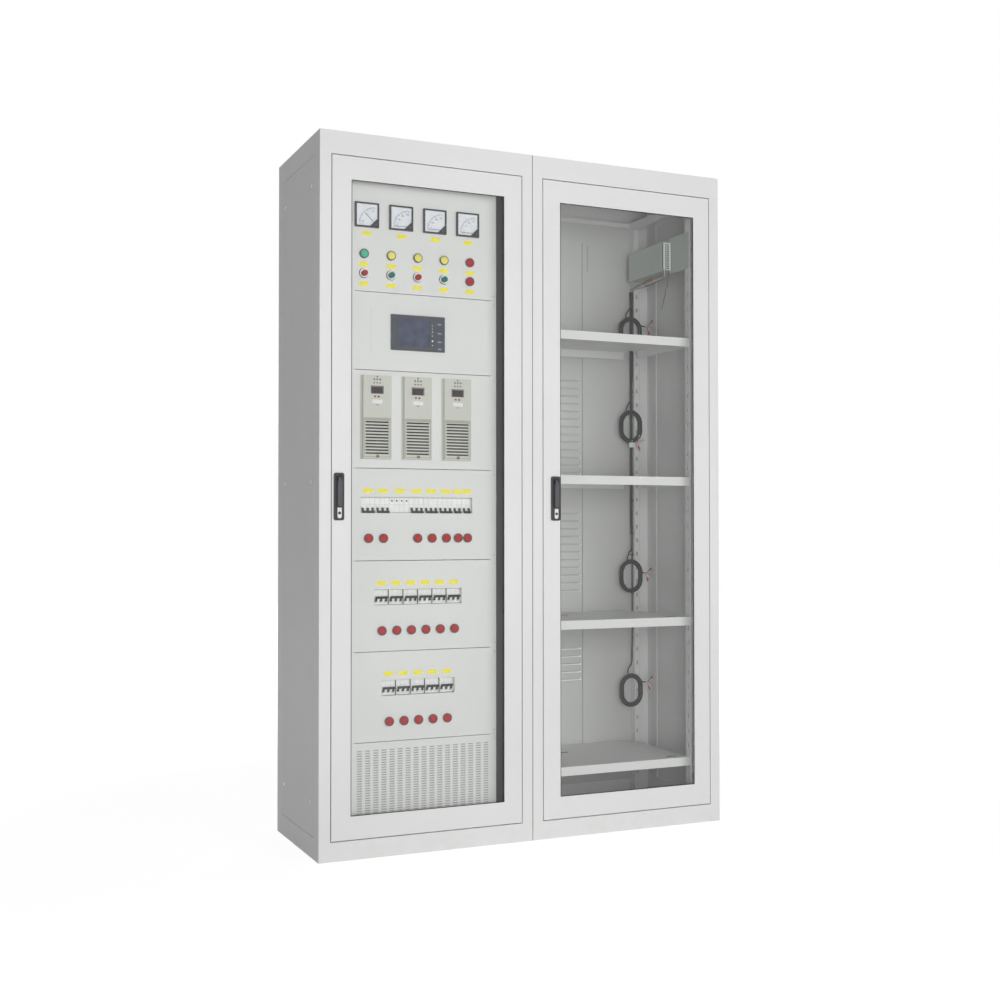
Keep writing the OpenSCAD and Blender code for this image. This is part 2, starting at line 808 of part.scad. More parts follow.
module meter_panel() {
  difference() {
    panel_sheet(seam_ab, top_a);
    for (x = meters)
      rod_y(x, panel_y - eps, panel_back + eps, meter_z, meter_w / 2 - 8 + hole_play);
    for (x = lamps, z = [lamp_z, button_z])
      rod_y(x, panel_y - eps, panel_back + eps, z, neck_r + hole_play);
  }
}

module controller_panel() {
  difference() {
    union() {
      panel_sheet(seam_bc, seam_ab);
      block(row_mid - back_plate_w / 2, row_mid + back_plate_w / 2, panel_y - 1.5, panel_y + eps,
            ctrl_z - back_plate_h / 2, ctrl_z + back_plate_h / 2);
    }
    block(row_mid - ctrl_w / 2 + 6, row_mid + ctrl_w / 2 - 6, panel_y - 2, panel_back + eps,
          ctrl_z - ctrl_h / 2 + 6, ctrl_z + ctrl_h / 2 - 6);
  }
}

ctrl_z = (seam_ab + seam_bc) / 2;

module module_panel() {
  difference() {
    panel_sheet(seam_cd, seam_bc);
    for (x = modules)
      block(x - module_w / 2 + 4, x + module_w / 2 - 4, panel_y - eps, panel_back + eps,
            module_z - module_h / 2 + 4, module_z + module_h / 2 - 4);
  }
}

module vent_panel() {
  w = panel_w - 44;
  h = seam_fg - bottom_g - 44;
  difference() {
    panel_sheet(bottom_g, seam_fg);
    for (i = [0:vent_cols - 1], k = [0:vent_rows - 1])
      translate([panel_x + 22 + (i + 0.5) * w / vent_cols, panel_y - eps,
                 bottom_g + 22 + (k + 0.5) * h / vent_rows])
        translate([-slot_w / 2, 0, -slot_h / 2]) cube([slot_w, sheet_t + 2 * eps, slot_h]);
  }
}

module inner_panels() {
  color(steel) {
    meter_panel();
    controller_panel();
    module_panel();
    breaker_panel(seam_de, seam_cd, row_d_x, row_d, row_d_z);
    breaker_panel(seam_ef, seam_de, row_e_x, row_e, row_e_z);
    breaker_panel(seam_fg, seam_ef, row_f_x, row_f, row_f_z);
    vent_panel();
  }
}

// Panel meters: a black frame with a covered corner, a dial and a needle on a pin
window_half = meter_w / 2 - meter_rim;
dial_t = 1;
dial_y = panel_y - 4;
cover_t = 1.4;
cover_leg = 25;
barrel_len = 45;
needle_t = 0.6;
needle_y = dial_y - dial_t - 1.2;
pivot_off = window_half - pivot_in;

module meter_case() {
  difference() {
    union() {
      block(-meter_w / 2, meter_w / 2, panel_y - meter_t, panel_y, -meter_w / 2, meter_w / 2);
      rod_y(0, panel_y, panel_y + barrel_len, 0, meter_w / 2 - 8);
    }
    block(-window_half, window_half, panel_y - meter_t - eps, dial_y, -window_half, window_half);
  }
  translate([window_half + eps, panel_y - meter_t + cover_t, -window_half - eps])
    rotate([90, 0, 0]) linear_extrude(height = cover_t)
      polygon([[0, 0], [-cover_leg, 0], [0, cover_leg]]);
  rod_y(pivot_off, panel_y - meter_t + 0.2, dial_y + eps, -pivot_off, 1);
}

module meter_cases() {
  color(black)
    for (x = meters)
      translate([x, 0, meter_z]) meter_case();
}

module meter_dials() {
  color(cream)
    for (x = meters)
      translate([x, 0, meter_z])
        difference() {
          block(-window_half, window_half, dial_y - dial_t, dial_y, -window_half, window_half);
          rod_y(pivot_off, dial_y - dial_t - eps, dial_y + eps, -pivot_off, 1.3);
        }
}

// Needle at an angle above the zero line, which points left from the pivot
module needle(i, angle) {
  color(black)
    translate([meters[i] + pivot_off, needle_y, meter_z - pivot_off])
      rotate([90, 0, 0])
        difference() {
          union() {
            cylinder(r = 3.2, h = needle_t, $fn = 32);
            rotate(180 - angle) translate([0, -0.6, 0]) cube([needle_len, 1.2, needle_t]);
          }
          translate([0, 0, -eps]) cylinder(r = 1 + pin_play, h = needle_t + 2 * eps, $fn = 32);
        }
}

// Bezels of the lamps and the push buttons, with the necks behind the panel
module lamp_bezel() {
  rod_y(0, panel_y - bezel_t, panel_y, 0, bezel_r);
  rod_y(0, panel_y - eps, panel_y + neck_len, 0, neck_r);
}

module button_bezel() {
  difference() {
    lamp_bezel();
    rod_y(0, panel_y - bezel_t - eps, panel_y + button_travel + bore_rest, 0, cap_r + cap_play);
  }
}

module circuit_bezels(x, v, z) {
  for (i = [0:len(v) - 1])
    if (v[i] < 4)
      translate([x + mid_of(v, i), 0, z - lamp_drop]) lamp_bezel();
}

module bezels() {
  color(chrome) {
    for (i = [0:4]) {
      translate([lamps[i], 0, lamp_z]) lamp_bezel();
      translate([lamps[i], 0, button_z])
        if (i < 4) button_bezel(); else lamp_bezel();
    }
    circuit_bezels(row_d_x, row_d, row_d_z);
    circuit_bezels(row_e_x, row_e, row_e_z);
    circuit_bezels(row_f_x, row_f, row_f_z);
  }
}

// Domed lens on a thin disc
module lamp_lens(x, z) {
  base = lens_r - 0.4;
  rise = lens_r * 0.32;
  ball = (base * base + rise * rise) / (2 * rise);
  translate([x, panel_y - bezel_t, z]) {
    rod_y(0, -lens_edge, 0, 0, lens_r);
    translate([0, -lens_edge, 0])
      intersection() {
        translate([0, ball - rise, 0]) sphere(r = ball, $fn = 64);
        block(-lens_r, lens_r, -rise - 1, 0.2, -lens_r, lens_r);
      }
  }
}

module lamps_green() { color([0.1, 0.65, 0.45]) lamp_lens(lamps[0], lamp_z); }
module lamps_yellow() { color([0.95, 0.85, 0.3]) for (i = [1:3]) lamp_lens(lamps[i], lamp_z); }

module circuit_lamps(x, v, z) {
  for (i = [0:len(v) - 1])
    if (v[i] < 4)
      lamp_lens(x + mid_of(v, i), z - lamp_drop);
}

module lamps_red() {
  color([0.75, 0.1, 0.12]) {
    lamp_lens(lamps[4], lamp_z);
    lamp_lens(lamps[4], button_z);
    circuit_lamps(row_d_x, row_d, row_d_z);
    circuit_lamps(row_e_x, row_e, row_e_z);
    circuit_lamps(row_f_x, row_f, row_f_z);
  }
}

// Push button cap in its bezel
module button(i) {
  color(i % 2 == 0 ? [0.8, 0.15, 0.12] : [0.05, 0.45, 0.42])
    rod_y(lamps[i], panel_y - bezel_t - cap_out, panel_y, button_z, cap_r);
}

// Controller: a slim case on the raised plate, with its screen let in
lcd_x = row_mid - 13;
lcd_in = 1.5;
ctrl_t = 5;
ctrl_d = 45;
ctrl_y = panel_y - 1.5;

module controller() {
  color([0.12, 0.14, 0.32])
    difference() {
      union() {
        block(row_mid - ctrl_w / 2, row_mid + ctrl_w / 2, ctrl_y - ctrl_t, ctrl_y,
              ctrl_z - ctrl_h / 2, ctrl_z + ctrl_h / 2);
        block(row_mid - ctrl_w / 2 + 7, row_mid + ctrl_w / 2 - 7, ctrl_y - eps, ctrl_y + ctrl_d,
              ctrl_z - ctrl_h / 2 + 7, ctrl_z + ctrl_h / 2 - 7);
      }
      block(lcd_x - lcd_w / 2, lcd_x + lcd_w / 2, ctrl_y - ctrl_t - eps, ctrl_y - ctrl_t + lcd_in,
            ctrl_z - lcd_h / 2, ctrl_z + lcd_h / 2);
    }
}

// Rectifier module: flange on the panel, raised front with a grille, body behind
module_front = 12;
mwin_w = 36;
mwin_h = 21;
mwin_z = module_h / 2 - 47;

module rectifier_module(x) {
  slot = 5;
  step = 9.6;
  w = module_w - 10;
  y0 = panel_y - module_front;
  difference() {
    union() {
      block(x - module_w / 2, x + module_w / 2, panel_y - 3, panel_y,
            module_z - module_h / 2, module_z + module_h / 2);
      block(x - w / 2, x + w / 2, y0, panel_y - 3 + eps,
            module_z - module_h / 2 + 2, module_z + module_h / 2 - 2);
      block(x - module_w / 2 + 5, x + module_w / 2 - 5, panel_y - eps, panel_y + module_d,
            module_z - module_h / 2 + 5, module_z + module_h / 2 - 5);
    }
    for (i = [0:module_slots - 1])
      block(x - w / 2 + 7, x + w / 2 - 7, y0 - eps, y0 + 7,
            module_z - module_h / 2 + 16 + i * step, module_z - module_h / 2 + 16 + i * step + slot);
    block(x - mwin_w / 2, x + mwin_w / 2, y0 - eps, y0 + lcd_in,
          module_z + mwin_z - mwin_h / 2, module_z + mwin_z + mwin_h / 2);
  }
  rod_y(x, y0 - 6, y0 + eps, module_z - module_h / 2 + 9, 4.5);
}

module rectifier_modules() {
  color([0.8, 0.78, 0.72])
    for (x = modules) rectifier_module(x);
}

// The controller's screen and the three module displays, each let into its front
module screens() {
  color([0.35, 0.33, 0.6]) {
    block(lcd_x - lcd_w / 2, lcd_x + lcd_w / 2, ctrl_y - ctrl_t + 0.4, ctrl_y - ctrl_t + lcd_in,
          ctrl_z - lcd_h / 2, ctrl_z + lcd_h / 2);
    for (x = modules)
      block(x - mwin_w / 2, x + mwin_w / 2, panel_y - module_front + 0.4,
            panel_y - module_front + lcd_in, module_z + mwin_z - mwin_h / 2,
            module_z + mwin_z + mwin_h / 2);
  }
}

// Top-hat rail between two brackets on the posts
module din_rail(z) {
  x0 = panel_x + post_w;
  x1 = panel_x + panel_w - post_w;
  for (x = [x0, x1 - sheet_t])
    block(x, x + sheet_t, panel_back + 2, rail_y + rail_t, z - rail_h / 2 - 3, z + rail_h / 2 + 3);
  translate([x0, rail_y, z]) rotate([90, 0, 90])
    linear_extrude(height = x1 - x0)
      polygon([[0, -rail_h / 2], [1, -rail_h / 2], [1, -13.5], [rail_t, -13.5], [rail_t, 13.5],
               [1, 13.5], [1, rail_h / 2], [0, rail_h / 2], [0, 12.5], [rail_t - 1, 12.5],
               [rail_t - 1, -12.5], [0, -12.5]]);
}

module din_rails() {
  color([0.75, 0.76, 0.72])
    for (z = [row_d_z, row_e_z, row_f_z]) din_rail(z);
}

function pole_at(i, poles) = (i - (poles - 1) / 2) * pole_w;
function shaft_len(poles) = (poles - 1) * pole_w + drum_w + 2 * shaft_over;

// One moulded breaker: a stepped body, a groove for each drum, and the bore for the shaft
module breaker(x, poles, z, has_lever) {
  w = poles * pole_w - breaker_play;
  difference() {
    union() {
      translate([x - w / 2, 0, z]) rotate([90, 0, 90])
        linear_extrude(height = w)
          polygon([[nose_y, -nose_h / 2], [nose_y, nose_h / 2], [body_y, nose_h / 2],
                   [body_y, breaker_h / 2 - 6], [body_y + 6, breaker_h / 2],
                   [rail_y, breaker_h / 2], [rail_y, -breaker_h / 2],
                   [body_y + 6, -breaker_h / 2], [body_y, -breaker_h / 2 + 6],
                   [body_y, -nose_h / 2]]);
    }
    if (has_lever) {
      for (i = [0:poles - 1])
        rod_x(x + pole_at(i, poles), pivot_y, z - pivot_drop, groove_r, drum_w + 2 * drum_play);
      rod_x(x, pivot_y, z - pivot_drop, shaft_r + pin_play, shaft_len(poles) + 1);
    } else
      for (i = [0:poles - 1])
        block(x - w / 2 + (i + 0.5) * pole_w - 4, x - w / 2 + (i + 0.5) * pole_w + 4,
              nose_y - eps, nose_y + 2, z + 4, z + 16);
  }
}

module breaker_row(x, v, z) {
  for (i = [0:len(v) - 1])
    breaker(x + mid_of(v, i), v[i], z, v[i] < 4);
}

module breaker_bodies() {
  color(cream) {
    breaker_row(row_d_x, row_d, row_d_z);
    breaker_row(row_e_x, row_e, row_e_z);
    breaker_row(row_f_x, row_f, row_f_z);
  }
}

// Ganged lever: a shaft with a drum and an arm for each pole, and the bar that ties the arms
module breaker_lever(x, poles, z, angle) {
  bar_w = (poles - 1) * pole_w + arm_w + 2;
  color(black)
    translate([x, pivot_y, z - pivot_drop]) rotate([angle, 0, 0]) {
      rod_x(0, 0, 0, shaft_r, shaft_len(poles));
      for (i = [0:poles - 1])
        translate([pole_at(i, poles), 0, 0]) {
          rod_x(0, 0, 0, drum_r, drum_w);
          block(-arm_w / 2, arm_w / 2, -lever_reach, 0, -arm_t / 2, arm_t / 2);
        }
      block(-bar_w / 2, bar_w / 2, -lever_reach, -lever_reach + bar_h, -bar_t / 2, bar_t / 2);
    }
}

lever_d = [for (i = [0:len(row_d) - 1]) if (i != arrester) i];

module lever_in_row(x, v, i, z, angle) {
  breaker_lever(x + mid_of(v, i), v[i], z, angle);
}

module lever_d_at(k) {
  lever_in_row(row_d_x, row_d, lever_d[k - 1], row_d_z, lever_angle);
}

module lever_e_at(k) {
  lever_in_row(row_e_x, row_e, k - 1, row_e_z, -lever_angle);
}

module lever_f_at(k) {
  lever_in_row(row_f_x, row_f, k - 1, row_f_z, -lever_angle);
}

// Shelf: a tray with turned-down edges and a notch for the leads
module shelf(z) {
  difference() {
    block(shelf_l, shelf_r, shelf_front, shelf_back, z - shelf_lip, z);
    block(shelf_l + sheet_t, shelf_r - sheet_t, shelf_front + sheet_t, shelf_back - sheet_t,
          z - shelf_lip - eps, z - sheet_t);
    block(shelf_r - notch_w, shelf_r + eps, shelf_back - notch_d, shelf_back + eps,
          z - shelf_lip - eps, z + eps);
    block(shelf_r - slot_in - shelf_slot_w, shelf_r - slot_in, slot_y - shelf_slot / 2,
          slot_y + shelf_slot / 2, z - sheet_t - eps, z + eps);
  }
}

module shelves() {
  color(steel)
    for (i = [0:3]) shelf(shelf_z + i * shelf_pitch);
}

// Battery monitor on its plate, with a terminal strip on its front end
module battery_monitor() {
  x1 = shelf_r - plate_2;
  x0 = x1 - monitor_play - monitor_t;
  y1 = monitor_front - monitor_play;
  strip_w = 28;
  strip_t = 8;
  strip_h = 94;
  teeth = 12;
  tooth_h = 4.5;
  tooth_t = 4;
  tooth_in = 5;
  pitch = strip_h / (teeth + 0.5);
  color([0.74, 0.78, 0.74]) {
    block(x1, shelf_r, front_post_y, rear_post_y + post_d, monitor_z, monitor_z + monitor_plate_h);
    block(x0, x1 - monitor_play, monitor_front, monitor_front + monitor_len,
          monitor_z + 8, monitor_z + 8 + monitor_h);
  }
  color([0.95, 0.95, 0.92])
    difference() {
      block(x0, x0 + strip_w, y1 - strip_t, y1, strip_z, strip_z + strip_h);
      for (i = [0:teeth - 1])
        block(x0 + tooth_in, x0 + strip_w - tooth_in, y1 - strip_t - eps, y1 - strip_t + tooth_t,
              strip_z + 3 + i * pitch, strip_z + 3 + tooth_h + i * pitch);
    }
}

strip_x = shelf_r - plate_2 - monitor_t + 8;
strip_y = monitor_front - 4;
strip_z = monitor_z + 11;
wire_d = 2.4;
wire_pitch = 4;

// Wire from the terminal strip to the top of the bundle; the four lie one under the other
function wire_path(k) =
  let (x = strip_x + wire_pitch * (k - 1.5),
       down = 3 * (3 - k),
       end_y = trunk_y - 4.2 + 2.8 * k,
       end_z = trunk_top + 8 + 2.8 * k)
    [[x, strip_y, strip_z - 0.3],
     [x, strip_y, strip_z - 5 - down],
     [strip_x, strip_y + 10, strip_z - 9 - down],
     [strip_x + 8, strip_y + 150, strip_z - 14 - down],
     [trunk_x - 0.5, trunk_y - 28, end_z + 1],
     [trunk_x, end_y - 3, end_z],
     [trunk_x, end_y, end_z - 3],
     [trunk_x, end_y, trunk_top + 0.3]];

// Loose wire that hangs from the strip and ends in its lug
loose_wire = [for (p = [[0, 0, -0.3], [0, 0, -16], [1, 6.5, -44], [2, 22.5, -76],
                        [3, 38.5, -102], [3, 46.5, -122]])
  [strip_x + 13, strip_y, strip_z] + p];

// A round tube swept along points, each ring square to the path
function unit(v) = v / norm(v);
function turn_at(p, i) = unit(p[min(i + 1, len(p) - 1)] - p[max(i - 1, 0)]);
function side_of(t) = unit(cross(t, abs(t[2]) < 0.9 ? [0, 0, 1] : [1, 0, 0]));

module tube(p, d, sides = 8) {
  n = len(p);
  rings = [for (i = [0:n - 1])
    let (t = turn_at(p, i), a = side_of(t), b = cross(t, a))
      for (k = [0:sides - 1])
        p[i] + d / 2 * (cos(360 * k / sides) * a + sin(360 * k / sides) * b)];
  walls = [for (i = [0:n - 2], k = [0:sides - 1])
    [i * sides + k, (i + 1) * sides + k,
     (i + 1) * sides + (k + 1) % sides, i * sides + (k + 1) % sides]];
  polyhedron(points = rings,
             faces = concat([[for (k = [0:sides - 1]) k]], walls,
                            [[for (k = [sides - 1:-1:0]) (n - 1) * sides + k]]));
}

// A lead starts against the side of the bundle
lead_side = 4;
lead_off = trunk_d / 2 + lead_d / 2 + 0.15;
lead_back = sqrt(lead_off * lead_off - lead_side * lead_side);

// Route of a lead from the bundle down to the top of its coil
function lead_path(z) = [
  [trunk_x - lead_side, trunk_y - lead_back, z + 150],
  [trunk_x - lead_side - 1, trunk_y - lead_back - 1.5, z + 130],
  [coil_x + 8, coil_y + 8, z + 110],
  [coil_x + 3, coil_y + 2, z + 92],
  [coil_x, coil_y, z + 75],
  [coil_x, coil_y, z + coil_straight / 2 + coil_r + coil_d / 2 + 0.3]];

module battery_leads() {
  color(black) {
    translate([trunk_x, trunk_y, trunk_foot])
      cylinder(d = trunk_d, h = trunk_top - trunk_foot, $fn = 32);
    for (z = coil_zs) tube(lead_path(z), lead_d);
    for (k = [0:3]) tube(wire_path(k), wire_d);
    tube(loose_wire, wire_d);
  }
}

// Half of a coil, from one straight side over the bend to the other
module coil_bend() {
  rotate([90, 0, 0])
    rotate_extrude(angle = 180, $fn = 64) translate([coil_r, 0]) circle(d = coil_d, $fn = 24);
}

module coil() {
  translate([0, 0, coil_straight / 2]) coil_bend();
  translate([0, 0, -coil_straight / 2]) rotate([0, 180, 0]) coil_bend();
  for (x = [-coil_r, coil_r])
    translate([x, 0, -coil_straight / 2]) cylinder(d = coil_d, h = coil_straight, $fn = 24);
}

module battery_coils() {
  color(black)
    for (z = coil_zs) translate([coil_x, coil_y, z]) coil();
}

left_frame();
right_frame();
side_and_roof_panels();
back_panels();
hinge_brackets();
left_door();
left_glass();
left_handle_plate();
left_spindle();
left_lever();
left_lock();
right_door();
right_glass();
right_handle_plate();
right_spindle();
right_lever();
right_lock();
rack_posts();
inner_panels();
meter_cases();
meter_dials();
needle(0, 45);  // needle_1
needle(1, 0);  // needle_2
needle(2, 0);  // needle_3
needle(3, 0);  // needle_4
bezels();
lamps_green();
lamps_yellow();
lamps_red();
for (i = [1:4])
  button(i - 1);
controller();
screens();
rectifier_modules();
din_rails();
breaker_bodies();
for (i = [1:7])
  lever_d_at(i);
for (i = [1:6])
  lever_e_at(i);
for (i = [1:5])
  lever_f_at(i);
shelves();
battery_monitor();
battery_leads();
battery_coils();
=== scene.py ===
# %% [markdown]
# # A rectifier battery charger in two glazed steel bays
# The frame that loads here is the finished construction: cabinet, doors, meters, breakers,
# shelves. This lesson dresses it. It gives each part its real surface, and adds the small
# things that are too fine for the construction, such as screws, marker plates, dial marks,
# seals and wires. Each step says what the thing is, how it could be made, and why this way.

# %% Load the frame
import math

import bmesh
import bpy
from mathutils import Matrix, Vector


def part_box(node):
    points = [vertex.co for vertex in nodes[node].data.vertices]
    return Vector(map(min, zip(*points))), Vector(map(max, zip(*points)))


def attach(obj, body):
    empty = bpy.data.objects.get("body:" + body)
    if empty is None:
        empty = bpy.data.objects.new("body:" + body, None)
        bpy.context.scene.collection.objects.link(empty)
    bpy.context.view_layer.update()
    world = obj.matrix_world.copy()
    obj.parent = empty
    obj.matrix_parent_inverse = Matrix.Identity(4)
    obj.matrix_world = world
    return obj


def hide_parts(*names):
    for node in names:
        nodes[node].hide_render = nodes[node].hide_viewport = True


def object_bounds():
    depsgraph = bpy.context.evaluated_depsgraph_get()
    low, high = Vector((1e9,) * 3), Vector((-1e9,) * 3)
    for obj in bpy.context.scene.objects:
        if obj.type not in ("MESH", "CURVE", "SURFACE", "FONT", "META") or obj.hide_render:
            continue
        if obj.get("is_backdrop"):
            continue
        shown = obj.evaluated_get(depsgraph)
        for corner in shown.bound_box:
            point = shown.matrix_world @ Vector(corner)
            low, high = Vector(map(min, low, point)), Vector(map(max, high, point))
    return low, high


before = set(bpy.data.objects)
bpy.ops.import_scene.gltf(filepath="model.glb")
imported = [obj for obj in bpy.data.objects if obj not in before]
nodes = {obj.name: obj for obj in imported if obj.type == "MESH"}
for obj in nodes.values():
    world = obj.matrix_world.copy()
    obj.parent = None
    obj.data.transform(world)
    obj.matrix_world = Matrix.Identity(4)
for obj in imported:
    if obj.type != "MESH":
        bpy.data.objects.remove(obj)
cad_low, cad_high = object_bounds()
scene = bpy.context.scene
MM = 0.001


def linked(name, data):
    """A new object in the scene, at the origin and unscaled."""
    made = bpy.data.objects.new(name, data)
    scene.collection.objects.link(made)
    return made


# %% [markdown]
# ## The camera
# The photograph was taken from the left of the cabinet at about half its height, so upright
# edges stay nearly upright. A small shift of the lens sets the cabinet's place in the
# picture without turning the camera. The numbers came from fitting the cabinet's corners.

# %% Camera
camera_data = bpy.data.cameras.new("camera")
camera_data.lens = 49.33
camera_data.sensor_width = 36.0
camera_data.shift_x = -0.060
camera_data.shift_y = 0.004
camera_data.clip_end = 60.0
camera = linked("camera", camera_data)
camera.location = (-1.8136, -4.2554, 0.9961)
camera.rotation_euler = [math.radians(a) for a in (91.032, 0.063, -25.504)]
scene.camera = camera
print("camera at", tuple(round(v, 3) for v in camera.location))

# %% [markdown]
# ## Shader maths as expressions
# Long chains of Math nodes are hard to read. This small class wraps a node's output, so
# that sums can be written as Python expressions, and each sign adds the node it stands for.
# `Shader` owns one node tree, and its `add` method is the only place where nodes are made.
# `Finish` is the shader of one material.

# %% Shader helpers
WHITE = (1.0, 1.0, 1.0)


class Value:
    """A number, colour or shader that varies over a surface."""

    def __init__(self, owner, socket):
        self.owner = owner
        self.socket = socket

    def math(self, operation, *others):
        node = self.owner.add("Math", operation=operation,
                              inputs=dict(enumerate((self,) + others)))
        return Value(self.owner, node.outputs[0])

    def __add__(self, other):
        return self.math("ADD", other)

    __radd__ = __add__

    def __sub__(self, other):
        return self.math("SUBTRACT", other)

    def __rsub__(self, other):
        return (self * -1.0).math("ADD", other)

    def __mul__(self, other):
        return self.math("MULTIPLY", other)

    __rmul__ = __mul__

    def __gt__(self, other):
        return self.math("GREATER_THAN", other)

    def __lt__(self, other):
        return self.math("LESS_THAN", other)

    def fade(self, low, high):
        """0 below low, 1 above high, and smooth between."""
        return self.owner.out("MapRange", "Result", interpolation_type="SMOOTHSTEP",
                              inputs={"Value": self, "From Min": low, "From Max": high})


class Shader:
    """One node tree."""

    def __init__(self, tree):
        self.tree = tree
        self.tree.nodes.clear()

    def add(self, kind, inputs=None, **settings):
        node = self.tree.nodes.new("ShaderNode" + kind)
        for name, setting in settings.items():
            setattr(node, name, setting)
        for name, value in (inputs or {}).items():
            self.feed(node.inputs[name], value)
        return node

    def feed(self, socket, value):
        if isinstance(value, Value):
            self.tree.links.new(value.socket, socket)
        elif isinstance(value, (tuple, list)) and socket.type == "RGBA":
            socket.default_value = tuple(value)[:3] + (1.0,)
        else:
            socket.default_value = value

    def out(self, kind, output, **settings):
        return Value(self, self.add(kind, **settings).outputs[output])

    def seen(self):
        """1 for rays of the camera, off gloss and through glass, and 0 for all other light."""
        rays = self.add("LightPath").outputs
        camera_ray, glossy, through = [Value(self, rays["Is %s Ray" % kind])
                                       for kind in ("Camera", "Glossy", "Transmission")]
        return self.out("Clamp", "Result", inputs={"Value": camera_ray + glossy + through})


class Finish(Shader):
    """One material. Its surface is a Principled shader fed by the expressions."""

    def __init__(self, name, **settings):
        self.material = bpy.data.materials.new(name)
        self.material.use_nodes = True
        super().__init__(self.material.node_tree)
        self.output = self.add("OutputMaterial")
        self.shader = self.add("BsdfPrincipled", inputs=settings)
        self.surface(Value(self, self.shader.outputs[0]))

    def surface(self, shader):
        self.feed(self.output.inputs["Surface"], shader)

    def place(self):
        """Object coordinates, in metres, because every object sits at the origin."""
        return self.out("TexCoord", "Object")

    def axis(self, name):
        return self.out("SeparateXYZ", name, inputs={"Vector": self.place()})

    def noise(self, scale, detail=2.0, stretch=None):
        place = self.place()
        if stretch:
            place = self.out("Mapping", "Vector", inputs={"Vector": place, "Scale": stretch})
        return self.out("TexNoise", "Fac",
                        inputs={"Vector": place, "Scale": scale, "Detail": detail})

    def mix(self, factor, a, b):
        node = self.add("Mix", data_type="RGBA")
        self.feed(node.inputs["Factor"], factor)
        self.feed(node.inputs[6], a)
        self.feed(node.inputs[7], b)
        return Value(self, node.outputs[2])

    def bump(self, height, strength, distance):
        return self.out("Bump", "Normal", inputs={"Height": height, "Strength": strength,
                                                  "Distance": distance})

    def set(self, **values):
        for name, value in values.items():
            self.feed(self.shader.inputs[name.replace("_", " ")], value)


def tell(what):
    print(what, "done, materials so far:", len(bpy.data.materials))


print("shader helpers ready")

# %% [markdown]
# ## Powder-coated steel
# The cabinet is sheet steel under a baked powder coat. Close up, such paint is slightly
# pebbled like orange peel, and not quite even in gloss. An image texture would tile over
# two metres of door, so fine noise in real millimetres does it. A second, slow noise lets
# the tone wander by about one part in fifty, and dust dulls the lowest centimetres.


# %% Painted sheet steel
def powder_coat(name, colour, roughness=0.42, pebble=520.0, depth=0.00012, dusty=True):
    finish = Finish(name, Metallic=0.0, IOR=1.5)
    tone = finish.noise(2.2, 3.0)
    soft = [c * 0.965 for c in colour]
    colour = finish.mix(tone.fade(0.3, 0.7), soft, colour)
    if dusty:
        foot = 1.0 - finish.axis("Z").fade(0.0, 0.10)
        dust = foot * finish.noise(38.0, 4.0).fade(0.30, 0.80)
        colour = finish.mix(dust * 0.12, colour, (0.52, 0.50, 0.46))
    finish.set(Base_Color=colour,
               Roughness=roughness + (finish.noise(26.0, 3.0) - 0.5) * 0.12,
               Normal=finish.bump(finish.noise(pebble, 2.0), 0.35, depth))
    return finish.material


cabinet_paint = powder_coat("cabinet_paint", (0.790, 0.792, 0.788))
# A slightly darker copy of the cabinet's paint for the side and roof panels: painted shade for
# the sides in half shade.
side_shaded_paint = powder_coat("side_shaded_paint", (0.760, 0.765, 0.760))
# The backs take a much darker copy of the cabinet's paint: painted shade for the dim back walls
# inside the bays.
back_shaded_paint = powder_coat("back_shaded_paint", (0.610, 0.613, 0.608))
module_paint = powder_coat("module_paint", (0.625, 0.625, 0.565), 0.48, 700.0, dusty=False)

# The monitor's plate, box and terminal strip are one node. Planes in metres tell them apart.
STRIP_BACK, POCKET_FLOOR, STRIP_RIGHT = -0.0841, -0.0893, 0.606


def monitor_coat():
    finish = Finish("monitor_paint_and_shade", IOR=1.5)
    strip = finish.axis("Y") < STRIP_BACK
    # The inner mask picks the walls and floors of the strip's pockets, which are painted near
    # black: painted shade of the deep pockets.
    inner = (finish.axis("Y") > POCKET_FLOOR) * strip
    strip = strip * (finish.axis("X") < STRIP_RIGHT)
    white = finish.mix(inner, (0.880, 0.880, 0.860), (0.040, 0.042, 0.040))
    tone = finish.noise(2.2, 3.0).fade(0.3, 0.7)
    grey = finish.mix(tone, (0.540, 0.590, 0.550), (0.560, 0.610, 0.570))
    finish.set(Base_Color=finish.mix(strip, grey, white),
               Roughness=0.45 + (finish.noise(26.0, 3.0) - 0.5) * 0.12,
               Normal=finish.bump(finish.noise(520.0, 2.0), 0.3, 0.0001))
    return finish.material


monitor_paint_and_shade = monitor_coat()
tell("paint")

# %% [markdown]
# ## Bright metal
# Lock buttons and hinge brackets are nickel-plated, as are the bezels of the push buttons.
# The bezels of the lamps are black, and they are in the same node, so their finish changes
# with place. The rails that the breakers clip to are zinc-plated, with a faint drawn grain
# along their length. The grain is noise squeezed along one axis.


# %% Plated metal
def plated(name, colour, roughness, grain=None):
    finish = Finish(name, Metallic=1.0)
    tone = finish.noise(140.0, 3.0, grain).fade(0.25, 0.75)
    deep = [c * 0.86 for c in colour]
    finish.set(Base_Color=finish.mix(tone, deep, colour),
               Roughness=roughness + (finish.noise(300.0, 2.0, grain) - 0.5) * 0.14,
               Normal=finish.bump(finish.noise(900.0, 1.0, grain), 0.12, 0.00004))
    return finish.material


nickel = plated("nickel", (0.80, 0.80, 0.79), 0.20)
zinc = plated("zinc", (0.66, 0.67, 0.66), 0.34, (0.03, 1.0, 1.0))
tin = plated("tin", (0.74, 0.73, 0.70), 0.30)
# The row of push buttons, in metres: its foot, its top and its right end.
ROW_FOOT, ROW_TOP, ROW_RIGHT = 1.765, 1.802, -0.24


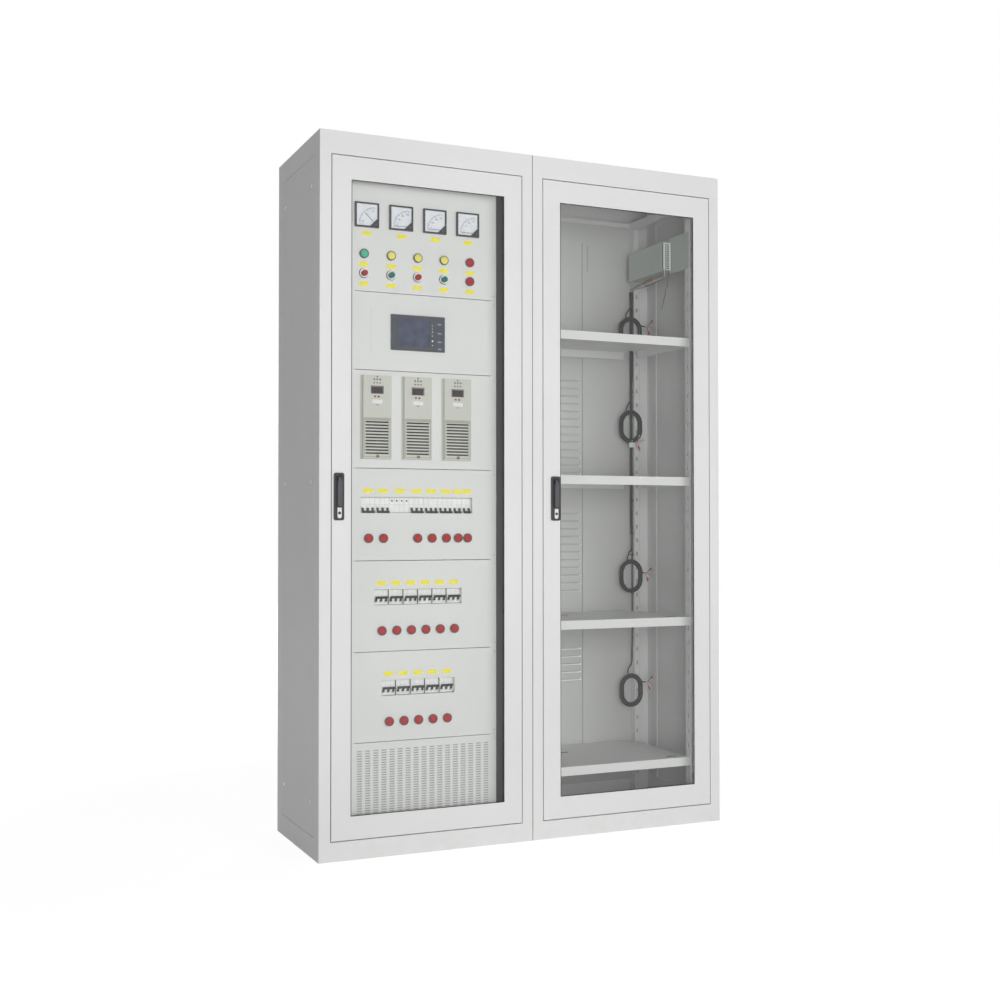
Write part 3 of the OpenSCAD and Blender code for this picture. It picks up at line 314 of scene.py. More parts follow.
def ring_metal():
    finish = Finish("ring_metal", IOR=1.5)
    height, across = finish.axis("Z"), finish.axis("X")
    bright = (height > ROW_FOOT) * (height < ROW_TOP) * (across < ROW_RIGHT)
    tone = finish.noise(140.0, 3.0).fade(0.25, 0.75)
    chrome = finish.mix(tone, (0.62, 0.62, 0.61), (0.82, 0.82, 0.81))
    finish.set(Base_Color=finish.mix(bright, (0.055, 0.056, 0.060), chrome), Metallic=bright,
               Roughness=0.36 - bright * 0.18 + (finish.noise(300.0, 2.0) - 0.5) * 0.10,
               Normal=finish.bump(finish.noise(900.0, 1.0), 0.12, 0.00004))
    return finish.material


rings = ring_metal()
tell("metal")

# %% [markdown]
# ## Moulded plastic
# Handle plates, meter cases, breaker housings and levers are moulded. Moulded plastic has a
# very fine spark-eroded grain and a slightly uneven gloss where the mould was hotter. A
# breaker's lever is one solid with a white drum behind and a black arm in front.


# %% Moulded plastic
def moulded(name, colour, roughness=0.45, grain=1400.0, depth=0.00006, gloss=0.5):
    finish = Finish(name, Metallic=0.0, IOR=1.48, **{"Specular IOR Level": gloss})
    flow = finish.noise(60.0, 3.0)
    light = [min(1.0, c * 1.06 + 0.004) for c in colour]
    finish.set(Base_Color=finish.mix(flow.fade(0.35, 0.65), colour, light),
               Roughness=roughness + (finish.noise(90.0, 2.0) - 0.5) * 0.10,
               Normal=finish.bump(finish.noise(grain, 1.0), 0.30, depth))
    return finish.material


black_plastic = moulded("black_plastic", (0.018, 0.018, 0.020), 0.38)
grey_lever = moulded("grey_lever", (0.075, 0.078, 0.085), 0.34)
breaker_white = moulded("breaker_white", (0.900, 0.905, 0.900), 0.42)
marker_yellow = moulded("marker_yellow", (0.980, 0.860, 0.050), 0.50, gloss=0.25)
plain_white = moulded("plain_white", (0.820, 0.820, 0.810), 0.45)
navy_case = moulded("navy_case", (0.040, 0.046, 0.058), 0.42)
red_plastic = moulded("red_plastic", (0.350, 0.008, 0.006), 0.36, gloss=0.12)
green_plastic = moulded("green_plastic", (0.006, 0.140, 0.120), 0.36, gloss=0.12)
# This black serves for real rubber and for painted shade: dark strips, rings and crosses in gaps,
# slots and recesses.
rubber_and_shade_black = moulded("rubber_and_shade_black", (0.020, 0.021, 0.022), 0.75, 500.0, 0.0002)
handle_black = moulded("handle_black", (0.046, 0.040, 0.044), 0.40)
ARM_BACK = -0.1925  # metres, where the drum ends and the arm begins


def lever_plastic():
    finish = Finish("lever_plastic", IOR=1.48)
    arm = finish.axis("Y") < ARM_BACK
    flow = finish.noise(60.0, 3.0).fade(0.35, 0.65)
    white = finish.mix(flow, (0.860, 0.865, 0.860), (0.900, 0.905, 0.900))
    finish.set(Base_Color=finish.mix(arm, white, (0.020, 0.020, 0.022)),
               Roughness=0.40 + (finish.noise(90.0, 2.0) - 0.5) * 0.10,
               Normal=finish.bump(finish.noise(1400.0, 1.0), 0.30, 0.00006))
    return finish.material


levers = lever_plastic()
tell("plastic")

# %% [markdown]
# ## Glass
# A door pane is a flat sheet, so refraction moves nothing that the eye could notice. A true
# refractive shader would block the lamps' light and leave the bays dark. So the pane is a
# mix: a faintly grey-green transparent part, and a mirror part whose share grows at grazing
# angles. Schlick's short formula gives that share. The Fresnel node wouldn't do: light runs
# straight through here, so at the pane's back face it would see a mirror where none is.


# %% Glass pane
def pane(name, tint, least=0.03):
    finish = Finish(name)
    finish.tree.nodes.remove(finish.shader)
    facing = finish.out("LayerWeight", "Facing", inputs={"Blend": 0.5})
    share = facing.math("POWER", 5.0) * (1.0 - least) + least
    clear = finish.out("BsdfTransparent", "BSDF", inputs={"Color": tint})
    mirror = finish.out("BsdfGlossy", "BSDF", inputs={"Color": WHITE, "Roughness": 0.02})
    finish.surface(finish.out("MixShader", "Shader", inputs={0: share, 1: clear, 2: mirror}))
    return finish.material


door_pane = pane("door_pane", (0.970, 0.974, 0.970))
tell("glass")

# %% [markdown]
# ## Lamp lenses
# A pilot lamp is a dyed clear cap over a diffuser, and unlit it looks deep at the rim and
# paler in the middle, where the white diffuser shows through. Layer Weight gives that depth
# without any real light inside, and a thin clear coat carries the highlight.


# %% Lenses
def lens(name, deep, pale):
    finish = Finish(name, Roughness=0.26, IOR=1.49, **{"Specular IOR Level": 0.1})
    facing = finish.out("LayerWeight", "Facing", inputs={"Blend": 0.35})
    finish.set(Base_Color=finish.mix(facing.fade(0.05, 0.75), pale, deep),
               Coat_Weight=0.15, Coat_Roughness=0.04,
               Normal=finish.bump(finish.noise(420.0, 1.0), 0.25, 0.0002))
    return finish.material


green_lens = lens("green_lens", (0.004, 0.120, 0.060), (0.090, 0.520, 0.330))
yellow_lens = lens("yellow_lens", (0.480, 0.330, 0.020), (0.900, 0.820, 0.170))
red_lens = lens("red_lens", (0.120, 0.002, 0.003), (0.460, 0.003, 0.005))
tell("lenses")

# %% [markdown]
# ## Dials and screens
# Meter dials are white enamelled tin. Screens are dark glass over a display that is switched
# off or dim, so they are nearly black with a wet gloss. The controller's screen, above the
# modules, has a blue cast, and the modules' small displays have a red one.

# %% Dial and screen finishes
dial_white = moulded("dial_white", (0.895, 0.900, 0.985), 0.30)
MODULES_TOP = 1.5  # metres


def screen_glass():
    finish = Finish("screen_glass", Roughness=0.12, IOR=1.5, **{"Specular IOR Level": 0.3})
    high = finish.axis("Z") > MODULES_TOP
    cloud = finish.noise(30.0, 2.0).fade(0.3, 0.7)
    blue = finish.mix(cloud, (0.028, 0.038, 0.082), (0.055, 0.070, 0.135))
    red = (0.022, 0.004, 0.006)
    finish.set(Base_Color=finish.mix(high, red, blue), Coat_Weight=0.2)
    return finish.material


screens = screen_glass()
tell("screens")

# %% [markdown]
# ## Dressing the construction
# A construction node keeps its mesh. Only the material in its slot is changed, so the
# shapes that the solids have are the shapes that the picture shows.

# %% Materials of the nodes
wear = {
    cabinet_paint: ["left_frame", "right_frame", "left_door", "right_door", "rack_posts",
                    "inner_panels", "shelves"],
    side_shaded_paint: ["side_and_roof_panels"],
    back_shaded_paint: ["back_panels"],
    door_pane: ["left_glass", "right_glass"],
    black_plastic: ["meter_cases", "needle_1", "needle_2", "needle_3", "needle_4",
                    "left_spindle", "right_spindle"],
    handle_black: ["left_handle_plate", "right_handle_plate"],
    rings: ["bezels"],
    levers: [name for name in nodes if name.startswith("breaker_lever")],
    grey_lever: ["left_lever", "right_lever"],
    nickel: ["left_lock", "right_lock", "hinge_brackets"],
    zinc: ["din_rails"],
    dial_white: ["meter_dials"],
    green_lens: ["lamps_green"],
    yellow_lens: ["lamps_yellow"],
    red_lens: ["lamps_red"],
    red_plastic: ["button_1", "button_3"],
    green_plastic: ["button_2", "button_4"],
    navy_case: ["controller"],
    screens: ["screens"],
    module_paint: ["rectifier_modules"],
    breaker_white: ["breaker_bodies"],
    monitor_paint_and_shade: ["battery_monitor"],
}
for material, names in wear.items():
    for name in names:
        mesh = nodes[name].data
        mesh.materials.clear()
        mesh.materials.append(material)
print("nodes dressed:", sum(len(names) for names in wear.values()))

# %% [markdown]
# ## A kit for small parts
# Screws, plates, keys and rings are many and simple. One small class gathers boxes, rods and
# rings in millimetres into a single mesh, so that forty screws are one object and not forty.
# Edges are bevelled, because no real edge is perfectly sharp, and a bevel catches the light.


# %% Kit for small parts
CABINET = "cabinet"
PANEL = -200.0  # the front of the inner panels, towards -Y
ROW_MID = -372.4  # the middle of their devices
POLE = 15.9  # the width of one breaker pole
SUNK = 0.05  # how deep a small part reaches into the face that it sits on


class Small:
    """Gathers boxes, rods and rings, in millimetres, into one object."""

    def __init__(self):
        self.bm = bmesh.new()

    def shape(self, matrix, bevel=0.0):
        made = bmesh.ops.create_cube(self.bm, size=1.0, matrix=matrix)
        if bevel:
            edges = dict.fromkeys(edge for vert in made["verts"] for edge in vert.link_edges)
            bmesh.ops.bevel(self.bm, geom=list(edges), offset=bevel, offset_type="OFFSET",
                            segments=2, profile=0.5, affect="EDGES", material=-1,
                            clamp_overlap=True)
        return self

    def box(self, x0, x1, y0, y1, z0, z1, bevel=0.0):
        size = Vector((x1 - x0, y1 - y0, z1 - z0))
        middle = Vector((x0 + x1, y0 + y1, z0 + z1)) / 2
        return self.shape(Matrix.LocRotScale(middle, None, size), bevel)

    def bar(self, a, b, y0, y1, width):
        """A flat bar in the XZ plane from point a to point b."""
        run = Vector((b[0] - a[0], 0.0, b[1] - a[1]))
        middle = Vector(((a[0] + b[0]) / 2, (y0 + y1) / 2, (a[1] + b[1]) / 2))
        turn = Matrix.Rotation(-math.atan2(run.z, run.x), 4, "Y")
        size = Matrix.Diagonal((run.length, y1 - y0, width, 1.0))
        return self.shape(Matrix.Translation(middle) @ turn @ size)

    def rod(self, a, b, radius, tip=None, sides=20):
        a, b = Vector(a), Vector(b)
        turn = (b - a).to_track_quat("Z", "Y")
        bmesh.ops.create_cone(self.bm, cap_ends=True, cap_tris=False, segments=sides,
                              radius1=radius, radius2=radius if tip is None else tip,
                              depth=(b - a).length,
                              matrix=Matrix.LocRotScale((a + b) / 2, turn, None))
        return self

    def key(self, x0, x1, face, proud, z0, z1, bevel=0.0):
        """A box that stands proud of a face towards -Y."""
        return self.box(x0, x1, face - proud, face + SUNK, z0, z1, bevel)

    def stud(self, x, z, face, proud, radius, tip=None, sides=20):
        """A rod that stands proud of a face towards -Y."""
        return self.rod((x, face - proud, z), (x, face + SUNK, z), radius, tip, sides)

    def hoop(self, axis, centre, inner, outer, low, high, sides=32):
        """A ring about the Y or Z axis through a centre, from low to high along it."""
        along = Vector((0, 1, 0) if axis == "Y" else (0, 0, 1))
        out = Vector((0, 0, 1) if axis == "Y" else (1, 0, 0))
        centre = Vector(centre)
        centre -= along * centre.dot(along)
        corners = [(inner, low), (outer, low), (outer, high), (inner, high)]
        verts = [self.bm.verts.new(centre + out * r + along * h) for r, h in corners]
        edges = [self.bm.edges.new((verts[i], verts[(i + 1) % 4])) for i in range(4)]
        bmesh.ops.spin(self.bm, geom=verts + edges, cent=centre, axis=along, dvec=(0, 0, 0),
                       angle=math.tau, steps=sides, use_merge=True, use_duplicate=False)
        return self

    def frame(self, x0, x1, y0, y1, z0, z1, width):
        """Four bars round a rectangle, butted at the corners."""
        self.box(x0, x1, y0, y1, z1 - width, z1)
        self.box(x0, x1, y0, y1, z0, z0 + width)
        self.box(x0, x0 + width, y0, y1, z0 + width, z1 - width)
        return self.box(x1 - width, x1, y0, y1, z0 + width, z1 - width)

    def done(self, name, material, body=CABINET):
        bmesh.ops.scale(self.bm, vec=(MM, MM, MM), verts=self.bm.verts)
        bmesh.ops.recalc_face_normals(self.bm, faces=self.bm.faces)
        mesh = bpy.data.meshes.new(name)
        self.bm.to_mesh(mesh)
        self.bm.free()
        mesh.shade_smooth()
        mesh.set_sharp_from_angle(angle=math.radians(35.0))
        mesh.materials.append(material)
        piece = linked(name, mesh)
        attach(piece, body)
        print(name, len(mesh.polygons), "faces")
        return piece


print("kit ready")

# %% [markdown]
# ## Battery leads
# Four sense leads run down the rear post in one bundle. Each leaves at its shelf and ends in
# a spare coil, ready for batteries that aren't fitted yet. A modelled coil could be a plain
# ring, but the turns are what the eye sees, so each lead is one real line: a tight bundle
# first, then a quarter turn, then six turns that also creep round each other, then the tail.

# %% Lead routes
TRUNK_X, TRUNK_Y, TRUNK_TOP = 605.7, 200.0, 1868.0
COIL_X, COIL_Y, COIL_R, STRAIGHT = 590.0, 178.0, 39.0, 28.0
COIL_STEPS = 28  # points in a turn
CREEP = 6.2  # how far a turn strays from the coil's middle line
TRUNK_STEP = 60.0
LEAD, WIRE = 5.0, 2.4
coil_heights = [1715.0, 1371.0, 822.0, 404.0]


def smooth(points, step=6.0):
    """Points along one smooth curve through the given ones, about a step apart."""
    knots = [Vector(p) for p in points]
    knots = [knots[0] * 2 - knots[1]] + knots + [knots[-1] * 2 - knots[-2]]
    line = []
    for a, b, c, d in zip(knots, knots[1:], knots[2:], knots[3:]):
        count = max(2, int((c - b).length / step))
        for i in range(count):
            t = i / count
            line.append(0.5 * (2 * b + (c - a) * t + (2 * a - 5 * b + 4 * c - d) * t * t
                               + (3 * b - a - 3 * c + d) * t ** 3))
    return line + [knots[-2]]


def around(part):
    """The angle and the lift at a part of one turn of the long loop, from its top."""
    bend = math.pi * COIL_R / 2
    run = (part % 1.0) * (4 * bend + 2 * STRAIGHT)
    if run < bend:
        return run / COIL_R, STRAIGHT / 2
    if run < bend + STRAIGHT:
        return math.pi / 2, STRAIGHT / 2 - (run - bend)
    if run < 3 * bend + STRAIGHT:
        return (run - STRAIGHT) / COIL_R, -STRAIGHT / 2
    if run < 3 * bend + 2 * STRAIGHT:
        return math.pi * 1.5, run - 3 * bend - 1.5 * STRAIGHT
    return (run - 2 * STRAIGHT) / COIL_R, STRAIGHT / 2


def lead_route(number, z):
    """The whole route of one lead, from the sleeve at the top of the bundle to its bare end."""
    side = (-1, 1, -1, 1)[number]
    back = (-1, -1, 1, 1)[number]
    x, y = TRUNK_X + 2.55 * side, TRUNK_Y + 2.55 * back
    if number == 0:
        start = [(x, y, TRUNK_TOP), (x - 0.2, y - 0.8, z + 146), (x - 1.6, y - 4.0, z + 130)]
    else:
        start = [(x, y, TRUNK_TOP)]
        height = TRUNK_TOP - TRUNK_STEP
        while height > z + 215:
            start.append((x, y, height))
            height -= TRUNK_STEP
        start += [(x, y, z + 190), (601.7, 192.2, z + 150), (600.7, 190.6, z + 130)]
    start += [(598, 186, z + 112), (593, 180.5, z + 96), (584.5, 179.2, z + 88)]
    turns = 6.0 + (0.12, 0.40, 0.15, 0.10)[number]
    first = math.radians(90.0 + 60.0 * number)
    coil = []
    count = int(turns * COIL_STEPS)
    for i in range(count + 1):
        angle, lift = around(turns * i / count)
        creep = first + math.tau * turns * i / count / 7.0
        reach = COIL_R + CREEP * math.cos(creep)
        coil.append((COIL_X + reach * math.sin(angle), COIL_Y + CREEP * math.sin(creep),
                     z + lift + reach * math.cos(angle)))
    entry = Vector(coil[0])
    start += [(574.5, (entry.y + 178.6) / 2, entry.z + 17), (575.0, entry.y + 0.1, entry.z + 6),
              (580.5, entry.y, entry.z + 1.2)]
    last = Vector(coil[-1])
    run = (last - Vector(coil[-2])).normalized()
    tail = [last + run * a + Vector((0.5 * b, -b, 0.2 * b))
            for a, b in ((7, 0.6), (13, 3.0), (18, 7.5), (22, 13.5))]
    middle = [Vector(p) for p in coil[:-1]]
    return smooth(start + coil[:1])[:-1] + middle + smooth([coil[-1]] + tail)


def length_of(line):
    return sum((b - a).length for a, b in zip(line, line[1:]))


routes = [lead_route(i, z) for i, z in enumerate(coil_heights)]
print("lead lengths, mm:", [round(length_of(route)) for route in routes])

# %% [markdown]
# ## Insulation
# Flexible lead has a soft PVC sheath: matt, a little uneven, never mirror-smooth. The short
# hook-up wires are the same stuff in signal colours, so one function makes them all.


# %% Cable finishes and curves
def sheath(name, colour, roughness=0.5):
    finish = Finish(name, IOR=1.5)
    cloud = finish.noise(180.0, 3.0)
    light = [min(1.0, c * 1.25 + 0.01) for c in colour]
    finish.set(Base_Color=finish.mix(cloud.fade(0.3, 0.7), colour, light),
               Roughness=roughness + (finish.noise(400.0, 2.0) - 0.5) * 0.2,
               Normal=finish.bump(finish.noise(900.0, 1.0), 0.2, 0.00005))
    return finish.material


sheath_black = sheath("sheath_black", (0.011, 0.011, 0.013))
wire_colours = [("green", (0.030, 0.300, 0.120)), ("orange", (0.750, 0.130, 0.030)),
                ("white", (0.720, 0.720, 0.700)), ("blue_grey", (0.140, 0.190, 0.260))]
wire_sheaths = {name: sheath("sheath_" + name, colour) for name, colour in wire_colours}
sheath_grey = sheath("sheath_grey", (0.055, 0.065, 0.060))
sheath_red = sheath("sheath_red", (0.560, 0.060, 0.060))
sheath_pink = sheath("sheath_pink", (0.780, 0.330, 0.330))


def cable(name, line, diameter, material, *stands_for):
    """A round cable along a line in millimetres."""
    curve = bpy.data.curves.new(name, "CURVE")
    curve.dimensions = "3D"
    curve.bevel_depth = diameter / 2 * MM
    curve.bevel_resolution = 3
    curve.use_fill_caps = True
    spline = curve.splines.new("POLY")
    spline.points.add(len(line) - 1)
    for point, place in zip(spline.points, line):
        point.co = (place[0] * MM, place[1] * MM, place[2] * MM, 1.0)
    curve.materials.append(material)
    piece = linked(name, curve)
    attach(piece, CABINET)
    if stands_for:
        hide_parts(*stands_for)
    return piece


tell("sheaths")

# %% [markdown]
# ## Lead ends
# Each lead holds four cores. At the tail the sheath stops, the cores fan out, and each ends
# in a coloured sleeve and a crimped tin lug. Short straight rods and cones are enough here.

# %% Leads and their ends
CORE, SLEEVE, SLEEVE_TIP = 1.3, 3.4, 2.9  # radii
core_finishes = [sheath_red, wire_sheaths["white"], sheath_pink, wire_sheaths["blue_grey"]]
for number, route in enumerate(routes, 1):
    lead = cable("battery_lead_%d" % number, route, LEAD, sheath_black,
                 "battery_leads", "battery_coils")
    end = route[-1]
    run = (end - route[-3]).normalized()
    side = run.cross(Vector((0, 0, 1))).normalized()
    up = side.cross(run)
    lugs = Small()
    for k, material in enumerate(core_finishes):
        lean = side * (0.5 if k % 2 else -0.5) + up * (k - 1.5)
        bend = end + run * 9 + lean * 2.2
        tip = end + run * (15 + 2 * k) + lean * (11.0 + 0.5 * k)
        away = (tip - bend).normalized()
        core = Small()
        core.rod(end - run * 1.0 + lean * 0.5, bend, CORE, sides=10)
        core.rod(bend - away * 0.6, tip, CORE, sides=10)
        core.rod(tip - away * 1.0, tip + away * 11.0, SLEEVE, SLEEVE_TIP, sides=14)
        core.done("lead_core_%d_%d" % (number, k + 1), material)
        lugs.rod(tip + away * 10.5, tip + away * 14.0, 1.6, 3.0, sides=12)
        lugs.rod(tip + away * 14.0 - up * 0.5, tip + away * 14.0 + up * 0.5, 3.4, sides=16)
    lugs.done("lead_lugs_%d" % number, tin)
    tuple(route[0] * MM)
    round(length_of(route) * MM, 3)

# %% [markdown]
# ## Hook-up wires
# Four thin wires run from the terminal strip to the sleeve on the bundle, one above the
# other, each with a sleeve of its own colour over the middle of its run, and one loose wire
# hangs with its lug. They follow the construction's own points.

# %% Hook-up wires
STRIP_X, STRIP_Y, STRIP_Z = 584.0, -88.0, 1904.0


def wire_route(k):
    x = STRIP_X + 4 * (k - 1.5)
    z = STRIP_Z - 6 * (3 - k)
    end_y = TRUNK_Y - 4.2 + 2.8 * k
    end_z = TRUNK_TOP + 8 + 2.8 * k
    return smooth([(x, STRIP_Y, STRIP_Z - 0.3), (x, STRIP_Y, z - 3.5),
                   (x, STRIP_Y + 0.8, z - 6.6), (x, STRIP_Y + 3.0, z - 9.4),
                   (x, STRIP_Y + 6.8, z - 11.6),
                   (STRIP_X + (x - STRIP_X) * 0.7, STRIP_Y + 13, z - 12.8),
                   (STRIP_X + (x - STRIP_X) * 0.2, STRIP_Y + 34, z - 13.6),
                   (STRIP_X + 8, STRIP_Y + 150, z - 15.0),
                   (TRUNK_X - 0.5, TRUNK_Y - 28, end_z + 0.8), (TRUNK_X, end_y - 9.5, end_z),
                   (TRUNK_X, end_y - 5.6, end_z - 0.8), (TRUNK_X, end_y - 2.2, end_z - 2.7),
                   (TRUNK_X, end_y - 0.4, end_z - 5.4), (TRUNK_X, end_y, TRUNK_TOP + 0.3)], 2.5)


order = ["blue_grey", "white", "orange", "green"]
for k, colour in enumerate(order):
    line = wire_route(k)
    wire = cable("hook_up_wire_" + colour, line, WIRE, wire_sheaths[colour], "battery_leads")
    sleeves = Small()
    near = min(range(len(line)), key=lambda i: abs(line[i].y - (STRIP_Y + 70 + 12 * k)))
    far = min(range(len(line)), key=lambda i: abs(line[i].y - (STRIP_Y + 160 + 6 * k)))
    for a, b in zip(line[near:far], line[near + 1:far + 1]):
        sleeves.rod(a, b + (b - a).normalized() * 0.2, 2.9, sides=12)
    sleeve = sleeves.done("hook_up_sleeve_" + colour, wire_sheaths[colour])
    tuple(line[0] * MM)
    round(length_of(line) * MM, 3)

line = smooth([(STRIP_X + 13 + dx, STRIP_Y + dy, STRIP_Z + dz)
               for dx, dy, dz in ((0, 0, -0.3), (0, 0, -16), (1, 6.5, -44), (2, 22.5, -76),
                                  (3, 38.5, -102), (3, 46.5, -122))], 4.0)
loose = cable("loose_wire", line, WIRE, sheath_grey, "battery_leads")
end = line[-1]
run = (end - line[-3]).normalized()
lug = Small()
lug.rod(end - run * 1.5, end + run * 7.0, 1.9, sides=14)
lug.rod(end + run * 6.5, end + run * 10.0, 1.6, 3.2, sides=14)
loose_lug = lug.done("loose_wire_lug", wire_sheaths["green"])
tuple(line[0] * MM)
round(length_of(line) * MM, 3)
print("wires:", len(order) + 1)

# %% [markdown]
# ## Sleeve, ties and tag
# A shrunk sleeve covers the joint where wires meet leads. Nylon ties hold the bundle to the
# post and each coil together, and a small white tag hangs under one coil.

# %% Sleeve, ties and tag
sleeve = Small()
sleeve.rod((TRUNK_X, TRUNK_Y, TRUNK_TOP - 26), (TRUNK_X, TRUNK_Y, TRUNK_TOP + 3), 6.9, 6.6, 28)
sleeve.done("bundle_sleeve", rubber_and_shade_black)
ties = Small()
for z in (1800.0, 1660.0, 1590.0, 1500.0, 1300.0, 1200.0, 1100.0, 980.0, 900.0, 760.0, 650.0):
    ties.hoop("Z", (TRUNK_X, TRUNK_Y, 0), 6.1, 6.9, z - 1.8, z + 1.8, 24)
    ties.box(TRUNK_X - 3.5, TRUNK_X + 1.0, TRUNK_Y - 9.6, TRUNK_Y - 6.2, z - 2.6, z + 2.6, 0.5)
TIE, TIE_SIDES = 9.6, 12  # radius round a coil's turns
for z in coil_heights:
    for part in (0.30, 0.62, 0.86):
        a, lift = around(part)
        out = Vector((math.sin(a), 0.0, math.cos(a)))
        knot = Vector((COIL_X, COIL_Y, z + lift)) + out * COIL_R
        turns = [math.tau * k / TIE_SIDES for k in range(TIE_SIDES + 1)]
        ring = [knot + out * TIE * math.cos(b) + Vector((0, TIE * math.sin(b), 0)) for b in turns]
        for p0, p1 in zip(ring, ring[1:]):
            ties.rod(p0, p1, 1.1, sides=8)
ties.done("cable_ties", sheath_black)
tag = Small()
tag.box(577.0, 601.0, 165.6, 166.2, 1294.0, 1312.0, 0.2)
tag.rod((589.0, 165.9, 1311.5), (590.0, 168.0, 1322.0), 0.7, sides=8)
tag.done("coil_tag", plain_white)

# %% [markdown]
# ## Shelf slot shade
# Each shelf has two short slots for leads. The slots are not cut in the shelves, so a low dark
# rounded bar on each shelf is painted shade for the slot.

# %% Shelf slot shade
SHELF_PITCH = 478.0
shelf_tops = [216.0 + SHELF_PITCH * i for i in range(4)]
slot_shade = Small()
for z in shelf_tops:
    slot_shade.box(540.0, 578.0, -172.0, -164.0, z - 0.2, z + 0.8, 0.4)
    slot_shade.box(238.0, 276.0, 60.0, 68.0, z - 0.2, z + 0.8, 0.4)
slot_shade.done("shelf_slot_shade", rubber_and_shade_black)

# %% [markdown]
# ## Door trim
# A flat sealing tape lies in the joint where the two bays are bolted together. Each pane
# sits in a black rubber channel, of which two millimetres show round the window.
# Behind the door a foam strip on the frame's lip keeps the dust out. Each lock button has a
# keyway, dark because it is a deep hole.

# %% Seals, glazing strip and keyways
SIDE, FRONT, BACK, ROOF = 700.0, -250.0, 250.0, 2200.0  # the cabinet's outer faces
bays = {"left": -SIDE, "right": 0.0}  # where each bay begins
TAPE, TAPE_PROUD = 0.9, 0.25  # half the tape's width, and what shows of it
LIP = -222.0  # the front of the frame's lip
FOAM = LIP - 1.8
joint = Small()
joint.box(-TAPE, TAPE, FRONT - TAPE_PROUD, FRONT + 1.0, 1.0, ROOF - 1.0)
joint.box(-TAPE, TAPE, BACK - 1.0, BACK + TAPE_PROUD, 1.0, ROOF - 1.0)
joint.box(-TAPE, TAPE, FRONT + 0.5, BACK - 0.5, ROOF - 1.0, ROOF + TAPE_PROUD)
joint.done("bay_joint", rubber_and_shade_black)
for side, off in bays.items():
    strip = Small()
    strip.frame(off + 98.7, off + 601.3, FRONT + 0.3, FRONT + 1.95, 131.2, 2055.8, 1.9)
    strip.done(side + "_glazing_strip", rubber_and_shade_black, side + "_door")
    foam = Small()
    for x0, x1, z0, z1 in ((40, 49, 66, 2121), (658.3, 663.3, 66, 2121),
                           (49, 658, 62, 71), (49, 658, 2116, 2125)):
        foam.box(off + x0, off + x1, FOAM, LIP, z0, z1, 0.6)
    foam.done(side + "_door_foam", rubber_and_shade_black)
    low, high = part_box(side + "_lock")
    x, z = (low[0] + high[0]) / 2 / MM, (low[2] + high[2]) / 2 / MM
    y = low[1] / MM
    key = Small()
    key.hoop("Y", (x, 0, z), 2.6, 4.6, y - 0.25, y + SUNK, 28)
    key.stud(x, z, y, 0.12, 2.5, sides=24)
    key.done(side + "_lock_keyway", black_plastic, side + "_lock")

# %% [markdown]
# ## Screws
# Pan-head screws hold the inner panels, the side panels and the backs. Each head is a short
# rounded disc, with a dark cross on it that is painted shade for the cross recess. Real screws
# stop at odd angles, so the crosses are turned by an angle that grows from screw to screw.


# %% Screws
def pan_head(heads, crosses, place, out, radius, number):
    """A pan head at a place in millimetres, with its face towards out."""
    place, out = Vector(place), Vector(out)
    heads.rod(place - out * 0.2, place + out * radius * 0.28, radius, radius * 0.97, 20)
    heads.rod(place + out * radius * 0.27, place + out * radius * 0.52, radius * 0.96,
              radius * 0.62, 20)
    turn = Matrix.Rotation(math.radians(37.0 * number), 4, out)
    flat = out.to_track_quat("Z", "Y").to_matrix().to_4x4()
    # The dark cross is painted shade for the cross recess.
    for size in ((radius * 1.05, radius * 0.24, 0.5), (radius * 0.24, radius * 1.05, 0.5)):
        crosses.shape(Matrix.Translation(place + out * (radius * 0.52 - 0.15)) @ turn @ flat
                      @ Matrix.Diagonal(size + (1.0,)))


PANEL_SCREW, COVER_SCREW = 3.4, 5.2  # radii
STACK_TOP = 2096.0  # the top of the inner panels
seams = [STACK_TOP, 1728.0, 1486.0, 1183.0, 898.0, 618.0, 341.0, 100.0]
heads, crosses = Small(), Small()
number = 0
for top, foot in zip(seams, seams[1:]):
    for x in (-586.0, -114.0):
        for z in (top - 14, foot + 14):
            number += 1
            pan_head(heads, crosses, (x, PANEL, z), (0, -1, 0), PANEL_SCREW, number)
heads.done("inner_panel_screws", cabinet_paint)
crosses.done("inner_panel_recess_shade", rubber_and_shade_black)
heads, crosses = Small(), Small()
for out in (-1, 1):
    for z in (2045.0, 1142.0, 168.0):
        for y in (-160.0, 160.0):
            number += 1
            pan_head(heads, crosses, (out * SIDE, y, z), (out, 0, 0), COVER_SCREW, number)
for off in bays.values():
    for x in (off + 54.0, off + 646.0):
        for z in (2090.0, 1620.0, 1110.0, 600.0, 98.0):
            number += 1
            pan_head(heads, crosses, (x, BACK, z), (0, 1, 0), COVER_SCREW, number)
heads.done("cover_screws", zinc)
crosses.done("cover_recess_shade", rubber_and_shade_black)

# %% [markdown]
# ## Filter mat
# Behind the slotted vent panel lies a pale fleece that keeps dust out, which is why the
# slots look grey and not black.

# %% Filter mat
MAT_THICK = 5.0
mat = Small()
mat.box(-570.0, -130.0, PANEL + 2.4, PANEL + 2.4 + MAT_THICK, 114.0, 327.0, 1.5)
fleece = moulded("filter_fleece", (0.380, 0.380, 0.370), 0.9, 260.0, 0.0006)
mat.done("vent_filter_mat", fleece)

# %% [markdown]
# ## Marker plates
# A yellow engraving plate, left blank here, is under each meter, lamp and button of the top
# panel and over each breaker. They are laminate a millimetre thick with bevelled edges, and
# no two sit quite level, which a small turn imitates.

# %% Marker plates
marks = [(x, 1907.0, 30.0, 12.5) for x in (-538.0, -425.0, -313.0, -203.0)]
for z in (1811.0, 1751.0):
    marks += [(x, z, 29.0, 12.5) for x in (-548.0, -458.5, -373.0, -285.5, -196.5)]
